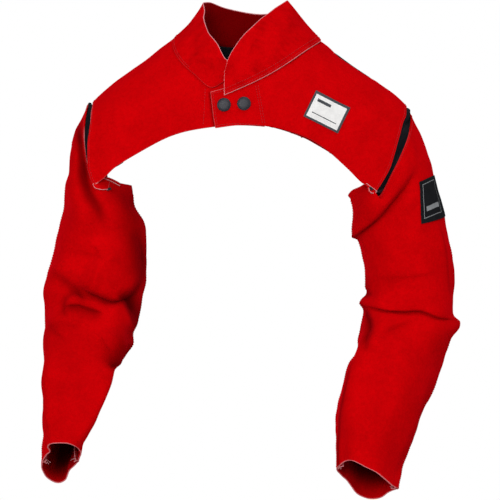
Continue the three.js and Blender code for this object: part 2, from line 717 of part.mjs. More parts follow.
function sleeveLabel() {
  const { top, bottom, turnFrom, turnTo, steps, gap } = SLEEVE_LABEL;
  const grid = gridOf(steps, steps, (u, v) => {
    const along = mix(top, bottom, u);
    const turn = toRadians(mix(turnTo, turnFrom, v));
    const lift = sleeveNormal(SLEEVE_LEFT, along, turn).multiplyScalar(gap + LABEL);
    return sleevePoint(SLEEVE_LEFT, along, turn).add(lift);
  });
  return wallOf(grid, LABEL);
}

// The assembly
const SUEDE = { color: 0xc00006, roughness: 0.95 };
const BLACK_COTTON = { color: 0x141417, roughness: 0.9 };
const SNAP_METAL = { color: 0x3e4854, roughness: 0.6 };
const PALE_PRINT = { color: 0xe8e6e2, roughness: 0.8 };
const WOVEN_BLACK = { color: 0x101014, roughness: 0.9 };

const group = new THREE.Group();

function add(name, geometry, finish) {
  const mesh = new THREE.Mesh(geometry, new THREE.MeshStandardMaterial(finish));
  mesh.name = name;
  group.add(mesh);
}

add("front_right", withSnapHoles(frontPanel(FRONT_RIGHT, false)), SUEDE);
add("front_left", withSnapHoles(frontPanel(FRONT_LEFT, true)), SUEDE);
add("back_panel", backPanel(), BLACK_COTTON);
add("collar", collar(), SUEDE);
add("gusset_right", gussetWall(FRONT_RIGHT, SLEEVE_RIGHT), BLACK_COTTON);
add("gusset_left", gussetWall(FRONT_LEFT, SLEEVE_LEFT), BLACK_COTTON);
add("sleeve_right", sleeveWall(SLEEVE_RIGHT), SUEDE);
add("sleeve_left", sleeveWall(SLEEVE_LEFT), SUEDE);
SNAPS.forEach((snap) => add(snap.name, snapGeometry(snap), SNAP_METAL));
add("chest_patch", chestPatch(), PALE_PRINT);
add("sleeve_label", sleeveLabel(), WOVEN_BLACK);

export default group;
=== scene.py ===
import math
import bpy
import numpy as np
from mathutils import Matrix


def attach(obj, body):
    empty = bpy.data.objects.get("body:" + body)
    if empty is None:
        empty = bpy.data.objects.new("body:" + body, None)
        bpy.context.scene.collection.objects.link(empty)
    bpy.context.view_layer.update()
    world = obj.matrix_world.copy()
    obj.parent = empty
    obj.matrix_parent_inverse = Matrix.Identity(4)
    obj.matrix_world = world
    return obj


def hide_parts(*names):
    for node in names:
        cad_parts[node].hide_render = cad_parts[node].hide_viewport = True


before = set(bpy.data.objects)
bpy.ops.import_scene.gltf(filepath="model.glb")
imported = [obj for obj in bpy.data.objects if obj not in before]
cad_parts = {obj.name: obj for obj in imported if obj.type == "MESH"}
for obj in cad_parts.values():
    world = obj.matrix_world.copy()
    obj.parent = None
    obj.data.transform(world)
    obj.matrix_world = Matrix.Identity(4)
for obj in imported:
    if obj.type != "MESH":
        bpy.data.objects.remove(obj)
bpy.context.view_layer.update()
print("stage: frame loaded")

# All shapes are worked out in millimetres, and the mesh maker turns them into metres.
# +Z is up, -Y is the front, +X is the wearer's left.

# number helpers

def smooth(low, high, t):  # 0 up to low, 1 from high on, an S between
    k = np.clip((t - low) / (high - low), 0, 1)
    return k * k * (3 - 2 * k)

def unit(v):
    return v / np.maximum(np.linalg.norm(v, axis=-1, keepdims=True), 1e-9)

def curveThrough(points, t, closed=False):
    # cubic pieces through the points, with knots spaced by the root of each chord
    points = np.asarray(points, float)
    count = len(points)
    if closed:
        place = np.asarray(t, float) * count
        index = np.floor(place).astype(int)
        p0, p1, p2, p3 = (points[(index + k) % count] for k in (-1, 0, 1, 2))
    else:
        place = np.clip(np.asarray(t, float), 0, 1) * (count - 1)
        index = np.minimum(np.floor(place).astype(int), count - 2)
        ends = np.concatenate([[2 * points[0] - points[1]], points, [2 * points[-1] - points[-2]]])
        p0, p1, p2, p3 = (ends[index + k] for k in (0, 1, 2, 3))
    share = (place - index).reshape(index.shape + (1,) * (p1.ndim - index.ndim))
    chords = ((p0, p1), (p1, p2), (p2, p3))
    d0, d1, d2 = (np.maximum(np.sum((b - a) ** 2, -1, keepdims=True) ** 0.25, 1e-6) for a, b in chords)
    m1 = ((p1 - p0) / d0 - (p2 - p0) / (d0 + d1) + (p2 - p1) / d1) * d1
    m2 = ((p2 - p1) / d1 - (p3 - p1) / (d1 + d2) + (p3 - p2) / d2) * d1
    bend = 3 * (p2 - p1) - 2 * m1 - m2
    return p1 + m1 * share + bend * share ** 2 + (2 * (p1 - p2) + m1 + m2) * share ** 3

def frontCurve(rows, t):  # a curve through places of x and z seen from the front, with y at 0
    return curveThrough(np.array([(x, 0, z) for x, z in rows], float), t)

def ripple(points, length, seed, waves=9):
    # sum of sine waves of about one length in seeded directions, about -1 to 1
    rng = np.random.default_rng(seed)
    ways = unit(rng.normal(size=(waves, 3))) * (2 * math.pi / length) * rng.uniform(0.7, 1.4, (waves, 1))
    phases = rng.uniform(0, 2 * math.pi, waves)
    return np.sin(points @ ways.T + phases).sum(-1) / math.sqrt(waves)

# mesh makers

def addMesh(name, verts, quads, floats=None, uvs=None):
    mesh = bpy.data.meshes.new(name)
    mesh.from_pydata(np.asarray(verts, float) * 0.001, [], np.asarray(quads, int))
    mesh.polygons.foreach_set("use_smooth", np.ones(len(mesh.polygons), bool))
    for key, values in (floats or {}).items():
        mesh.attributes.new(key, "FLOAT", "POINT").data.foreach_set("value", np.asarray(values, np.float32))
    if uvs is not None:
        loopVerts = np.empty(len(mesh.loops), np.int32)
        mesh.loops.foreach_get("vertex_index", loopVerts)
        layer = mesh.uv_layers.new(name="cloth")
        layer.data.foreach_set("uv", np.asarray(uvs, np.float32)[loopVerts].ravel())
    mesh.update()
    obj = bpy.data.objects.new(name, mesh)
    bpy.context.scene.collection.objects.link(obj)
    return obj

def gridNormals(grid, around=False):
    # cross product of the two grid directions, outward by the order of rows and columns
    u = np.gradient(grid, axis=0)
    if around:
        v = np.roll(grid, -1, 1) - np.roll(grid, 1, 1)
    else:
        v = np.gradient(grid, axis=1)
    return unit(np.cross(u, v))

def lengthsAlong(grid, axis):
    steps = np.linalg.norm(np.diff(grid, axis=axis), axis=-1)
    start = np.zeros_like(np.take(steps, [0], axis=axis))
    return np.concatenate([start, np.cumsum(steps, axis=axis)], axis=axis)

# the cut edge of a wall: its angles, how far it counts as inside, and the edge distance on its face and far from it
cutEdge = {"angles": (0.25, 0.5, 0.75), "inside": (0.0, 0.3, 0.7), "face": -0.6, "far": 60}

def addWall(name, outer, thickness, around=False, pale=1.0, bulge=0.4, inside=1.0, shade=0.0, insideShade=0.0):
    # a closed wall: outer face, inner face one thickness behind it, and half-round cut edges.
    # pale is one number, or one for each edge: row start, row end, column start, column end
    # shade: painted shade on the outer face (the shade of folds, shadows beside lapped edges), and on the collar a
    # random mottle; insideShade: painted shade on the inner face
    rows, cols = outer.shape[:2]
    count = rows * cols
    normal = gridNormals(outer, around)
    index = np.arange(count).reshape(rows, cols)
    ring = np.concatenate([index, index[:, :1]], axis=1) if around else index
    faces = np.stack([ring[:-1, :-1], ring[1:, :-1], ring[1:, 1:], ring[:-1, 1:]], -1).reshape(-1, 4)
    away = np.zeros_like(outer)
    away[0] += unit(outer[0] - outer[1])
    away[-1] += unit(outer[-1] - outer[-2])
    down = lengthsAlong(outer, 0)
    across = lengthsAlong(outer, 1)
    ways = [down, down[-1:] - down]
    if around:
        loops = [index[0], index[-1][::-1]]
    else:
        away[:, 0] += unit(outer[:, 0] - outer[:, 1])
        away[:, -1] += unit(outer[:, -1] - outer[:, -2])
        ways += [across, across[:, -1:] - across]
        loops = [np.concatenate([index[0, :-1], index[:-1, -1], index[-1, :0:-1], index[:0:-1, 0]])]
    away = unit(away).reshape(-1, 3)
    ways = np.stack(ways)
    nearest = np.argmin(ways, axis=0)
    pale = pale if isinstance(pale, tuple) else (pale,) * 4
    paleness = np.stack([np.broadcast_to(p, (rows, cols)) for p in pale])
    paleAt = np.take_along_axis(paleness, nearest[None], axis=0)[0].ravel()
    edgeAt = np.minimum(ways.min(axis=0), cutEdge["far"]).ravel()
    flat = outer.reshape(-1, 3)
    normals = normal.reshape(-1, 3)
    verts = [flat, flat - normals * thickness]
    quads = [faces, faces[:, ::-1] + count]
    pales = [paleAt, paleAt]
    edges = [edgeAt, edgeAt]
    insides = [np.zeros(count), np.full(count, inside)]
    shadeAt = np.broadcast_to(shade, (rows, cols)).ravel()
    shades = [shadeAt, np.broadcast_to(insideShade, (rows, cols)).ravel()]
    uv = np.stack([across, down], -1).reshape(-1, 2) * 0.001
    uvs = [uv, uv]
    total = 2 * count
    angles = np.array(cutEdge["angles"]) * math.pi
    sides = len(angles)
    for loop in loops:
        middle = flat[loop] - normals[loop] * thickness * 0.5
        bow = np.cos(angles)[:, None, None] * normals[loop] * thickness * 0.5
        rounds = middle + bow + np.sin(angles)[:, None, None] * away[loop] * bulge
        ids = total + np.arange(sides * len(loop)).reshape(sides, -1)
        strip = np.concatenate([loop[None], ids, loop[None] + count])
        after = np.roll(strip, -1, axis=1)
        quads.append(np.stack([after[:-1], after[1:], strip[1:], strip[:-1]], -1).reshape(-1, 4))
        verts.append(rounds.reshape(-1, 3))
        pales.append(np.tile(paleAt[loop], sides))
        edges.append(np.full(sides * len(loop), cutEdge["face"]))
        insides.append(np.repeat(np.array(cutEdge["inside"]) * inside, len(loop)))
        shades.append(np.tile(shadeAt[loop], sides))
        uvs.append(np.tile(uv[loop], (sides, 1)))
        total += sides * len(loop)
    floats = {"edgeDistance": np.concatenate(edges), "edgePale": np.concatenate(pales)}
    # paintedShadeAndMottle holds the painted shade, and the collar's random mottle
    floats |= {"insideFace": np.concatenate(insides), "paintedShadeAndMottle": np.concatenate(shades)}
    return addMesh(name, np.concatenate(verts), np.concatenate(quads), floats, np.concatenate(uvs))

def sampled(values, at, places):  # rows of three numbers, looked up between the places they are given at
    return np.stack([np.interp(places, at, values[:, k]) for k in range(3)], -1)

def evenly(path, spacing):
    # resample a path at an even spacing, and give the points, their tangents and their shares
    lengths = lengthsAlong(path, 0)
    count = max(2, int(lengths[-1] / spacing))
    places = (np.arange(count) + 0.5) / count * lengths[-1]
    step = spacing * 0.3
    tangents = unit(sampled(path, lengths, places + step) - sampled(path, lengths, places - step))
    return sampled(path, lengths, places), tangents, places / lengths[-1]

def ringQuads(rows, sides, flipped=False):  # quads between closed rings of vertices
    ids = np.arange(rows * sides).reshape(rows, sides)
    after = np.roll(ids, -1, axis=1)
    quads = np.stack([ids[:-1], ids[1:], after[1:], after[:-1]], -1).reshape(-1, 4)
    return quads[:, [0, 3, 2, 1]] if flipped else quads

tubeSides = 6
tubeTurns = np.arange(tubeSides) / tubeSides * 2 * math.pi
tubeCap = np.array([[0, 1, 2, 3], [0, 3, 4, 5]])
tubeAcross = np.array([0.31, 0.2, 0.93])  # a way that no thread end runs along

def tubeRing(side, up):  # a round section in the plane of two directions
    return side[..., None, :] * np.cos(tubeTurns)[:, None] + up[..., None, :] * np.sin(tubeTurns)[:, None]

stitch = {"steps": 5, "rise": 1.1, "sunk": 0.35, "tip": 0.45}

def stitchShapes(path, normals, length, pitch, radius):
    # each stitch is a short thread: a round section carried along a low arch, thin at both ends
    points, tangents, shares = evenly(path, pitch)
    up = unit(sampled(normals, np.linspace(0, 1, len(path)), shares))
    side = unit(np.cross(tangents, up))
    steps = np.linspace(-1, 1, stitch["steps"])
    arch = 1 - steps ** 2
    spine = points[:, None] + tangents[:, None] * (steps * length / 2)[None, :, None]
    spine = spine + up[:, None] * (arch * radius * stitch["rise"] - radius * stitch["sunk"])[None, :, None]
    thick = radius * (stitch["tip"] + (1 - stitch["tip"]) * np.sqrt(arch))
    verts = spine[:, :, None] + tubeRing(side, up)[:, None] * thick[None, :, None, None]
    size = stitch["steps"] * tubeSides
    caps = np.concatenate([tubeCap[:, ::-1], tubeCap + size - tubeSides])
    quads = np.concatenate([ringQuads(stitch["steps"], tubeSides, True), caps])
    quads = quads[None] + (np.arange(len(points)) * size)[:, None, None]
    return verts.reshape(-1, 3), quads.reshape(-1, 4)

def joinShapes(shapes):
    verts = np.concatenate([s[0] for s in shapes])
    starts = np.cumsum([0] + [len(s[0]) for s in shapes[:-1]])
    quads = np.concatenate([s[1] + start for s, start in zip(shapes, starts)])
    return verts, quads

def tubeShape(path, radius):
    # a round section carried along a path, closed at both ends
    tangents = unit(np.gradient(path, axis=0))
    side = unit(np.cross(tangents, tubeAcross))
    verts = path[:, None] + radius * tubeRing(side, np.cross(side, tangents))
    caps = np.concatenate([tubeCap, tubeCap[:, ::-1] + (len(path) - 1) * tubeSides])
    return verts.reshape(-1, 3), np.concatenate([ringQuads(len(path), tubeSides), caps])

def lineInside(grid, away, edge, normals):
    # the line at one distance inside an edge of a grid, found by measuring along the grid from that edge
    g, n = (np.swapaxes(part, 0, 1) if edge.startswith("column") else part for part in (grid, normals))
    if edge.endswith("End"):
        g, n = g[::-1], n[::-1]
    lengths = lengthsAlong(g, 0)
    row = np.clip((lengths < away).sum(0) - 1, 0, len(g) - 2)
    cols = np.arange(g.shape[1])
    low = lengths[row, cols]
    share = ((away - low) / np.maximum(lengths[row + 1, cols] - low, 1e-6))[:, None]
    line = g[row, cols] * (1 - share) + g[row + 1, cols] * share
    return line, n[row, cols]

# the cloth of the whole garment
cloth = {"leather": 1.6, "cotton": 1.0, "label": 0.7, "layerGap": 0.8, "labelGap": 0.35}
layer = cloth["leather"] + cloth["layerGap"]

# the shoulders that the yoke is cut to fit: a ridge falls from the neck to each tip,
# and from it the front and the back fall in quarter ellipses, and then straight down
shoulders = {
    "neckHalf": 112, "neckZ": (8, 1), "slope": (0.755, 0.7), "sidesMeet": 90, "ridgeY": 4,
    "tipStart": 212, "tipRound": 0.009, "halfWidth": 235,
    "front": {"depth": 104, "depthLoss": 38, "foot": -112, "footDrop": 60},
    "back": {"depth": 102, "depthLoss": 36, "foot": -82, "footDrop": 88},
    "swellLength": 95, "swell": 0.9, "puckerLength": 34, "pucker": 0.28,
}

def ridgeHeight(x):
    reach = np.abs(x)
    toLeft = smooth(-shoulders["sidesMeet"], shoulders["sidesMeet"], x)
    neckZ, slope = (right + (left - right) * toLeft for right, left in (shoulders["neckZ"], shoulders["slope"]))
    half = shoulders["neckHalf"]
    near = neckZ + 0.5 * slope * (half - reach * reach / half)
    past = np.maximum(0, reach - shoulders["tipStart"])
    far = neckZ - slope * (reach - half) - shoulders["tipRound"] * past * past
    return np.where(reach < half, near, far)

def archAt(x, side):
    share = (x / shoulders["halfWidth"]) ** 2
    depth = side["depth"] - side["depthLoss"] * share
    return depth, ridgeHeight(x) - (side["foot"] - side["footDrop"] * share)

def fallAt(x, z, side):  # 0 on the ridge, 1 at the ellipse's foot, more below it
    x, z = np.asarray(x, float), np.asarray(z, float)
    depth, height = archAt(x, side)
    drop = np.maximum(0, ridgeHeight(x) - z) / height
    return np.where(drop < 1, np.arccos(np.clip(1 - drop, -1, 1)) / (math.pi / 2), drop)

def formPoint(x, fall):  # fall is positive on the front and negative on the back
    frontDepth, frontHeight = archAt(x, shoulders["front"])
    backDepth, backHeight = archAt(x, shoulders["back"])
    depth = np.where(fall >= 0, frontDepth, backDepth)
    height = np.where(fall >= 0, frontHeight, backHeight)
    f = np.abs(fall)
    angle = np.minimum(f, 1) * math.pi / 2
    drop = np.where(f < 1, 1 - np.cos(angle), f)
    y = shoulders["ridgeY"] - np.sign(fall) * depth * np.sin(angle)
    return np.stack([x, y, ridgeHeight(x) - height * drop], -1)

def formNormal(x, fall):
    across = formPoint(x + 1, fall) - formPoint(x - 1, fall)
    down = formPoint(x, fall + 0.02) - formPoint(x, fall - 0.02)
    return unit(np.cross(down, across))

def onForm(x, fall, offset):
    # the form, swelled by slow waves that all the layers of the yoke share
    x, fall = np.broadcast_arrays(np.asarray(x, float), np.asarray(fall, float))
    base = formPoint(x, fall)
    swell = shoulders["swell"] * ripple(base, shoulders["swellLength"], 3)
    swell = swell + shoulders["pucker"] * ripple(base, shoulders["puckerLength"], 8)
    return base + formNormal(x, fall) * (np.asarray(offset) + swell)[..., None]

def placesOn(rows, side):  # rows of x and z as places (x, fall) on the form
    rows = np.asarray(rows, float)
    sign = 1 if side is shoulders["front"] else -1
    return np.stack([rows[:, 0], sign * fallAt(rows[:, 0], rows[:, 1], side), np.zeros(len(rows))], -1)

def cornerLine(first, second, share, t):  # two lines in a row that meet in a corner at the share given
    t = np.asarray(t, float)
    before = first(np.clip(t / share, 0, 1))
    beyond = second(np.clip((t - share) / (1 - share), 0, 1))
    return np.where((t < share)[:, None], before, beyond)

def patchPlaces(bottom, top, start, end):
    # a four-sided patch between its edges: rows run across, columns run up
    acrossShare = np.linspace(0, 1, len(bottom))[:, None, None]
    upShare = np.linspace(0, 1, len(start))[None, :, None]
    p = bottom[:, None] * (1 - upShare) + top[:, None] * upShare
    p = p + start[None] * (1 - acrossShare) + end[None] * acrossShare
    p = p - bottom[0] * (1 - acrossShare) * (1 - upShare) - bottom[-1] * acrossShare * (1 - upShare)
    return p - top[0] * (1 - acrossShare) * upShare - top[-1] * acrossShare * upShare

def straight(a, b):
    def at(t):
        return a + (b - a) * np.asarray(t)[:, None]
    return at

def through(points):
    def at(t):
        return curveThrough(points, t)
    return at

# front panels: edge rows are x and z seen from the front, and the hem runs from the armpit to the centre
neckCorner = 0.46  # share of the top edge that is the shoulder
frontRight = {
    "hem": [(-227, -214), (-211, -203), (-197, -190), (-160, -167), (-110, -142.5), (-57, -131), (-12, -128), (24, -130)],
    "armhole": [(-227, -214), (-233, -199), (-236, -180), (-236, -161), (-234, -134), (-232, -109), (-232, -95), (-233, -87)],
    "neckline": [(-112, 7), (-103, -17), (-84, -41), (-56, -59), (-30, -53), (-6, -44), (14, -39)],
    "seamFall": -0.08, "dip": 0, "lapRise": 0, "steps": (170, 130),
}
frontLeft = {
    "hem": [(184.5, -225.5), (180, -226), (176, -222.5), (173, -215), (166, -210.5), (145, -190), (119, -167), (96, -151),
            (72, -140.5), (32, -130.5), (-12, -128), (-47, -132)],
    "armhole": [(184.5, -225.5), (189, -221), (199, -206), (209, -187), (217, -162), (224, -138), (230, -119),
                (235, -106), (238, -97)],
    "neckline": [(103, 4), (62, -26), (22, -52), (-8, -66), (-32, -74), (-54, -80)],
    "seamFall": 0.03, "dip": 0.17, "lapRise": layer, "lapFrom": 74, "lapTo": 34, "steps": (190, 130),
}

dipSpan = (110, 138, 182, 206)

def dipAt(x):  # where the left shoulder edge dips and the back panel shows above it
    return smooth(*dipSpan[:2], x) * (1 - smooth(*dipSpan[2:], x))

def lapRise(panel, x):
    return panel["lapRise"] * smooth(-frontLeft["lapFrom"], -frontLeft["lapTo"], -x)

def panelSides(panel, side):
    # hem, top edge, armhole and centre line as places on the form; the top edge turns a corner at the neck
    a, b = (np.linspace(0, 1, count) for count in panel["steps"])
    hem, armhole, neckline = (placesOn(panel[edge], side) for edge in ("hem", "armhole", "neckline"))
    armhole[-1, 1] = neckline[0, 1] = panel["seamFall"]
    top = cornerLine(straight(armhole[-1], neckline[0]), through(neckline), neckCorner, a)
    return [curveThrough(hem, a), top, curveThrough(armhole, b), straight(hem[-1], neckline[-1])(b)]

def dipTop(sides, dip):
    top = sides[1]
    top[:, 1] += np.where(np.linspace(0, 1, len(top)) < neckCorner, dip * dipAt(top[:, 0]), 0)

def frontGrid(panel, mirrored):
    sides = panelSides(panel, shoulders["front"])
    dipTop(sides, panel["dip"])
    x, fall = np.moveaxis(patchPlaces(*sides), -1, 0)[:2]
    grid = onForm(x, fall, lapRise(panel, x))
    return grid[::-1] if mirrored else grid

frontRightGrid = frontGrid(frontRight, False)
frontLeftGrid = frontGrid(frontLeft, True)

# pale edges of the fronts: least at the hem and at the armhole, and the shares over which they grow
frontPale = {"hem": 0.12, "hemStep": 0.02, "armhole": 0.06, "corner": (0.04, 0.07), "upper": (0.62, 0.74)}
placket = {"shade": 0.6, "at": -0.5, "reach": 2.6, "fade": (-84, -76)}  # the shadow beside the lapped edge

def hemPale(grid, start, most):  # palest at the armpit
    grown = smooth(start, start + frontPale["hemStep"], np.linspace(1, 0, len(grid)))[:, None]
    return frontPale["hem"] + (most - frontPale["hem"]) * grown

def armholePale(grid, first, upper):  # at the armpit corner and on the upper part
    up = np.linspace(0, 1, grid.shape[1])[None]
    return frontPale["armhole"] + first * (1 - smooth(*frontPale["corner"], up)) + upper * smooth(*frontPale["upper"], up)

lappedEdge = np.interp(frontRightGrid[..., 2], frontLeftGrid[0, :, 2], frontLeftGrid[0, :, 0])
besideEdge = frontRightGrid[..., 0] - lappedEdge - placket["at"]
placketShade = placket["shade"] * np.exp(-(besideEdge / placket["reach"]) ** 2)
placketShade = placketShade * (1 - smooth(*placket["fade"], frontRightGrid[..., 2]))
frontRightPale = (armholePale(frontRightGrid, 0, 1.6), 0.1, hemPale(frontRightGrid, 0.93, 1.0), 0.0)
frontLeftPale = (0.2, armholePale(frontLeftGrid, 1.6, 0), hemPale(frontLeftGrid, 0.89, 2.2)[::-1], 0.4)
frontRightPiece = addWall("frontRight", frontRightGrid, cloth["leather"], pale=frontRightPale, shade=placketShade)
frontLeftPiece = addWall("frontLeft", frontLeftGrid, cloth["leather"], pale=frontLeftPale)
print("stage: front panels", frontRightGrid.shape, frontLeftGrid.shape)

# back panel: one piece of cotton from armhole to armhole, half laid out and mirrored
back = {
    "hem": [(200, -178), (188, -164), (150, -138), (100, -118), (50, -108), (0, -105)],
    "armhole": [(200, -178), (210, -165), (217, -148), (222, -128), (226, -108), (228, -92), (229, -84)],
    "neckline": [(106, 6), (88, 4), (46, 2), (0, 2)],
    "seamFall": 0.13, "dip": 0.2, "dipRise": 2.9, "shown": (-0.6, -0.1, 0.13, 0.21),
    "offset": -(layer + 1.4), "steps": (120, 110),
}

def backGrid():
    sides = panelSides(back, shoulders["back"])
    other = patchPlaces(*sides)[::-1][1:] * np.array([-1, 1, 1])  # the right half has no dip
    dipTop(sides, back["dip"])
    x, fall = np.moveaxis(np.concatenate([patchPlaces(*sides), other]), -1, 0)[:2]
    shown = dipAt(x) * smooth(*back["shown"][:2], fall) * (1 - smooth(*back["shown"][2:], fall))
    return onForm(x, fall, back["offset"] + back["dipRise"] * shown)

backPanelGrid = backGrid()
backPiece = addWall("backPanel", backPanelGrid, cloth["cotton"], pale=0.0)
print("stage: back panel", backPanelGrid.shape)

# collar: ribs from the hidden end on the right front, round the back, to the tip on the left front.
# columns: foot x, foot z, lift off the yoke, top x, y, z, flare, 1 where the foot is on the back
collar = {
    "ribs": np.array([
        (-6, -52, 2.4, 0, -87, -26, 0, 0), (-32, -63, 2.4, -18, -90, -31, 0, 0), (-53, -73, 2.4, -31, -92, -32, 0, 0),
        (-77, -54, 2.3, -45, -86, -8, 1, 0), (-96, -36, 2.3, -57, -72, 8, 0, 0), (-107, -18, 2.3, -64, -50, 25, -1, 0),
        (-110, -2, 2.4, -66, -20, 47, -3, 0), (-107, 7, 2.4, -66, -4, 57, -3, 0), (-101, 0, 2.6, -65, 12, 63, -3, 1),
        (-78, -7, 1.2, -57, 37, 67, -2, 1), (-40, -9, 0.8, -34, 50, 60, -3, 1), (0, -9, 0.8, -3, 55, 54, -3, 1),
        (40, -9, 0.8, 28, 48, 51, -3, 1), (78, -8, 1.2, 49, 30, 55, -2, 1), (101.5, -2, 3.4, 58, 10, 62, -1, 1),
        (106.5, 3, 3.4, 58, -10, 63, -0.7, 0), (105.5, -2, 3.8, 50, -26, 57, 1, 0), (84, -18, 3, 34, -50, 44, 3, 0),
        (60, -36, 4, 16, -68, 27, 4, 0), (36, -52, 5.2, -4, -82, 8, 4, 0), (12, -65, 5.2, -20, -91, -14, 3, 0),
        (-12, -76, 5.2, -29, -97, -32, 2, 0), (-34, -85, 5.2, -34, -100, -50, 1, 0)], float),
    "steps": (44, 330), "waveLength": 48, "wave": 1.5, "waveGrowth": 0.7,
    "footPale": 0.05, "lapPale": 0.72, "lapFrom": (0.62, 0.68),
    # rubs: darker patches where the nap lies over, as strength, length and seed
    "rubs": ((0.09, 26, 61), (0.05, 11, 62)), "rubbed": 0.06, "mostRubbed": 0.3,
}

def collarGrid():
    up, across = collar["steps"]
    x, z, lift, topX, topY, topZ, flare, onBack = collar["ribs"].T
    fall = np.where(onBack > 0, -fallAt(x, z, shoulders["back"]), fallAt(x, z, shoulders["front"]))
    a = np.linspace(0, 1, across)
    b = np.linspace(0, 1, up)[:, None, None]
    foot = curveThrough(onForm(x, fall, lift), a)
    top = curveThrough(np.stack([topX, topY, topZ], -1), a)
    bow = curveThrough(np.stack([flare, 0 * flare, 0 * flare], -1), a)[:, :1]
    outward = unit((foot - np.array([0, shoulders["ridgeY"], 0])) * np.array([1, 1, 0]))
    grid = foot * (1 - b) + top * b + outward * bow * 4 * b * (1 - b)
    wave = collar["wave"] * ripple(grid, collar["waveLength"], 21)
    return grid + gridNormals(grid) * (wave * (b[..., 0] ** collar["waveGrowth"]))[..., None]

collarPieceGrid = collarGrid()
collarShare = np.linspace(0, 1, collar["steps"][1])
footPale = (collar["footPale"] + collar["lapPale"] * smooth(*collar["lapFrom"], collarShare))[None, :]
rubbed = collar["rubbed"] + sum(strength * ripple(collarPieceGrid, length, seed) for strength, length, seed in collar["rubs"])
rubbed = np.clip(rubbed, 0, collar["mostRubbed"])
collarPiece = addWall("collarBand", collarPieceGrid, cloth["leather"], pale=(footPale, 1.0, 0.2, 1.0), shade=rubbed)
print("stage: collar", collarPieceGrid.shape)

# sleeves: the top loop is the armhole seam from corner to corner, and the free edge under the arm.
# turn: 0 outer, 90 front, 180 inner, 270 back

def fold(line, width, lift, sink, reach, hang, shade=None, wrap=-0.3, ends=0.22, side=1, soft=False):
    # the leather on the left hand of the line's walk, x and z seen from the front, rolls over it.
    # width: of the roll, lift: its height, sink: of the valley beside it, reach: how far its fullness runs on,
    # hang: how far it droops over the line; shade: painted shade along the line, its darkness at the start and the end,
    # reach on the roll and beside it;
    # wrap: how far round the side it goes, ends: how slowly it starts; side: 1 on the front and -1 on the back
    return {"line": line, "width": width, "lift": lift, "sink": sink, "reach": reach, "hang": hang,
            "shade": shade, "wrap": wrap, "ends": ends, "side": side, "soft": soft}

def shadow(line, shade, wrap=-0.3, ends=0.22):  # painted shade of a fold, without its shape
    return {"line": line, "shade": shade, "wrap": wrap, "ends": ends, "side": 1}

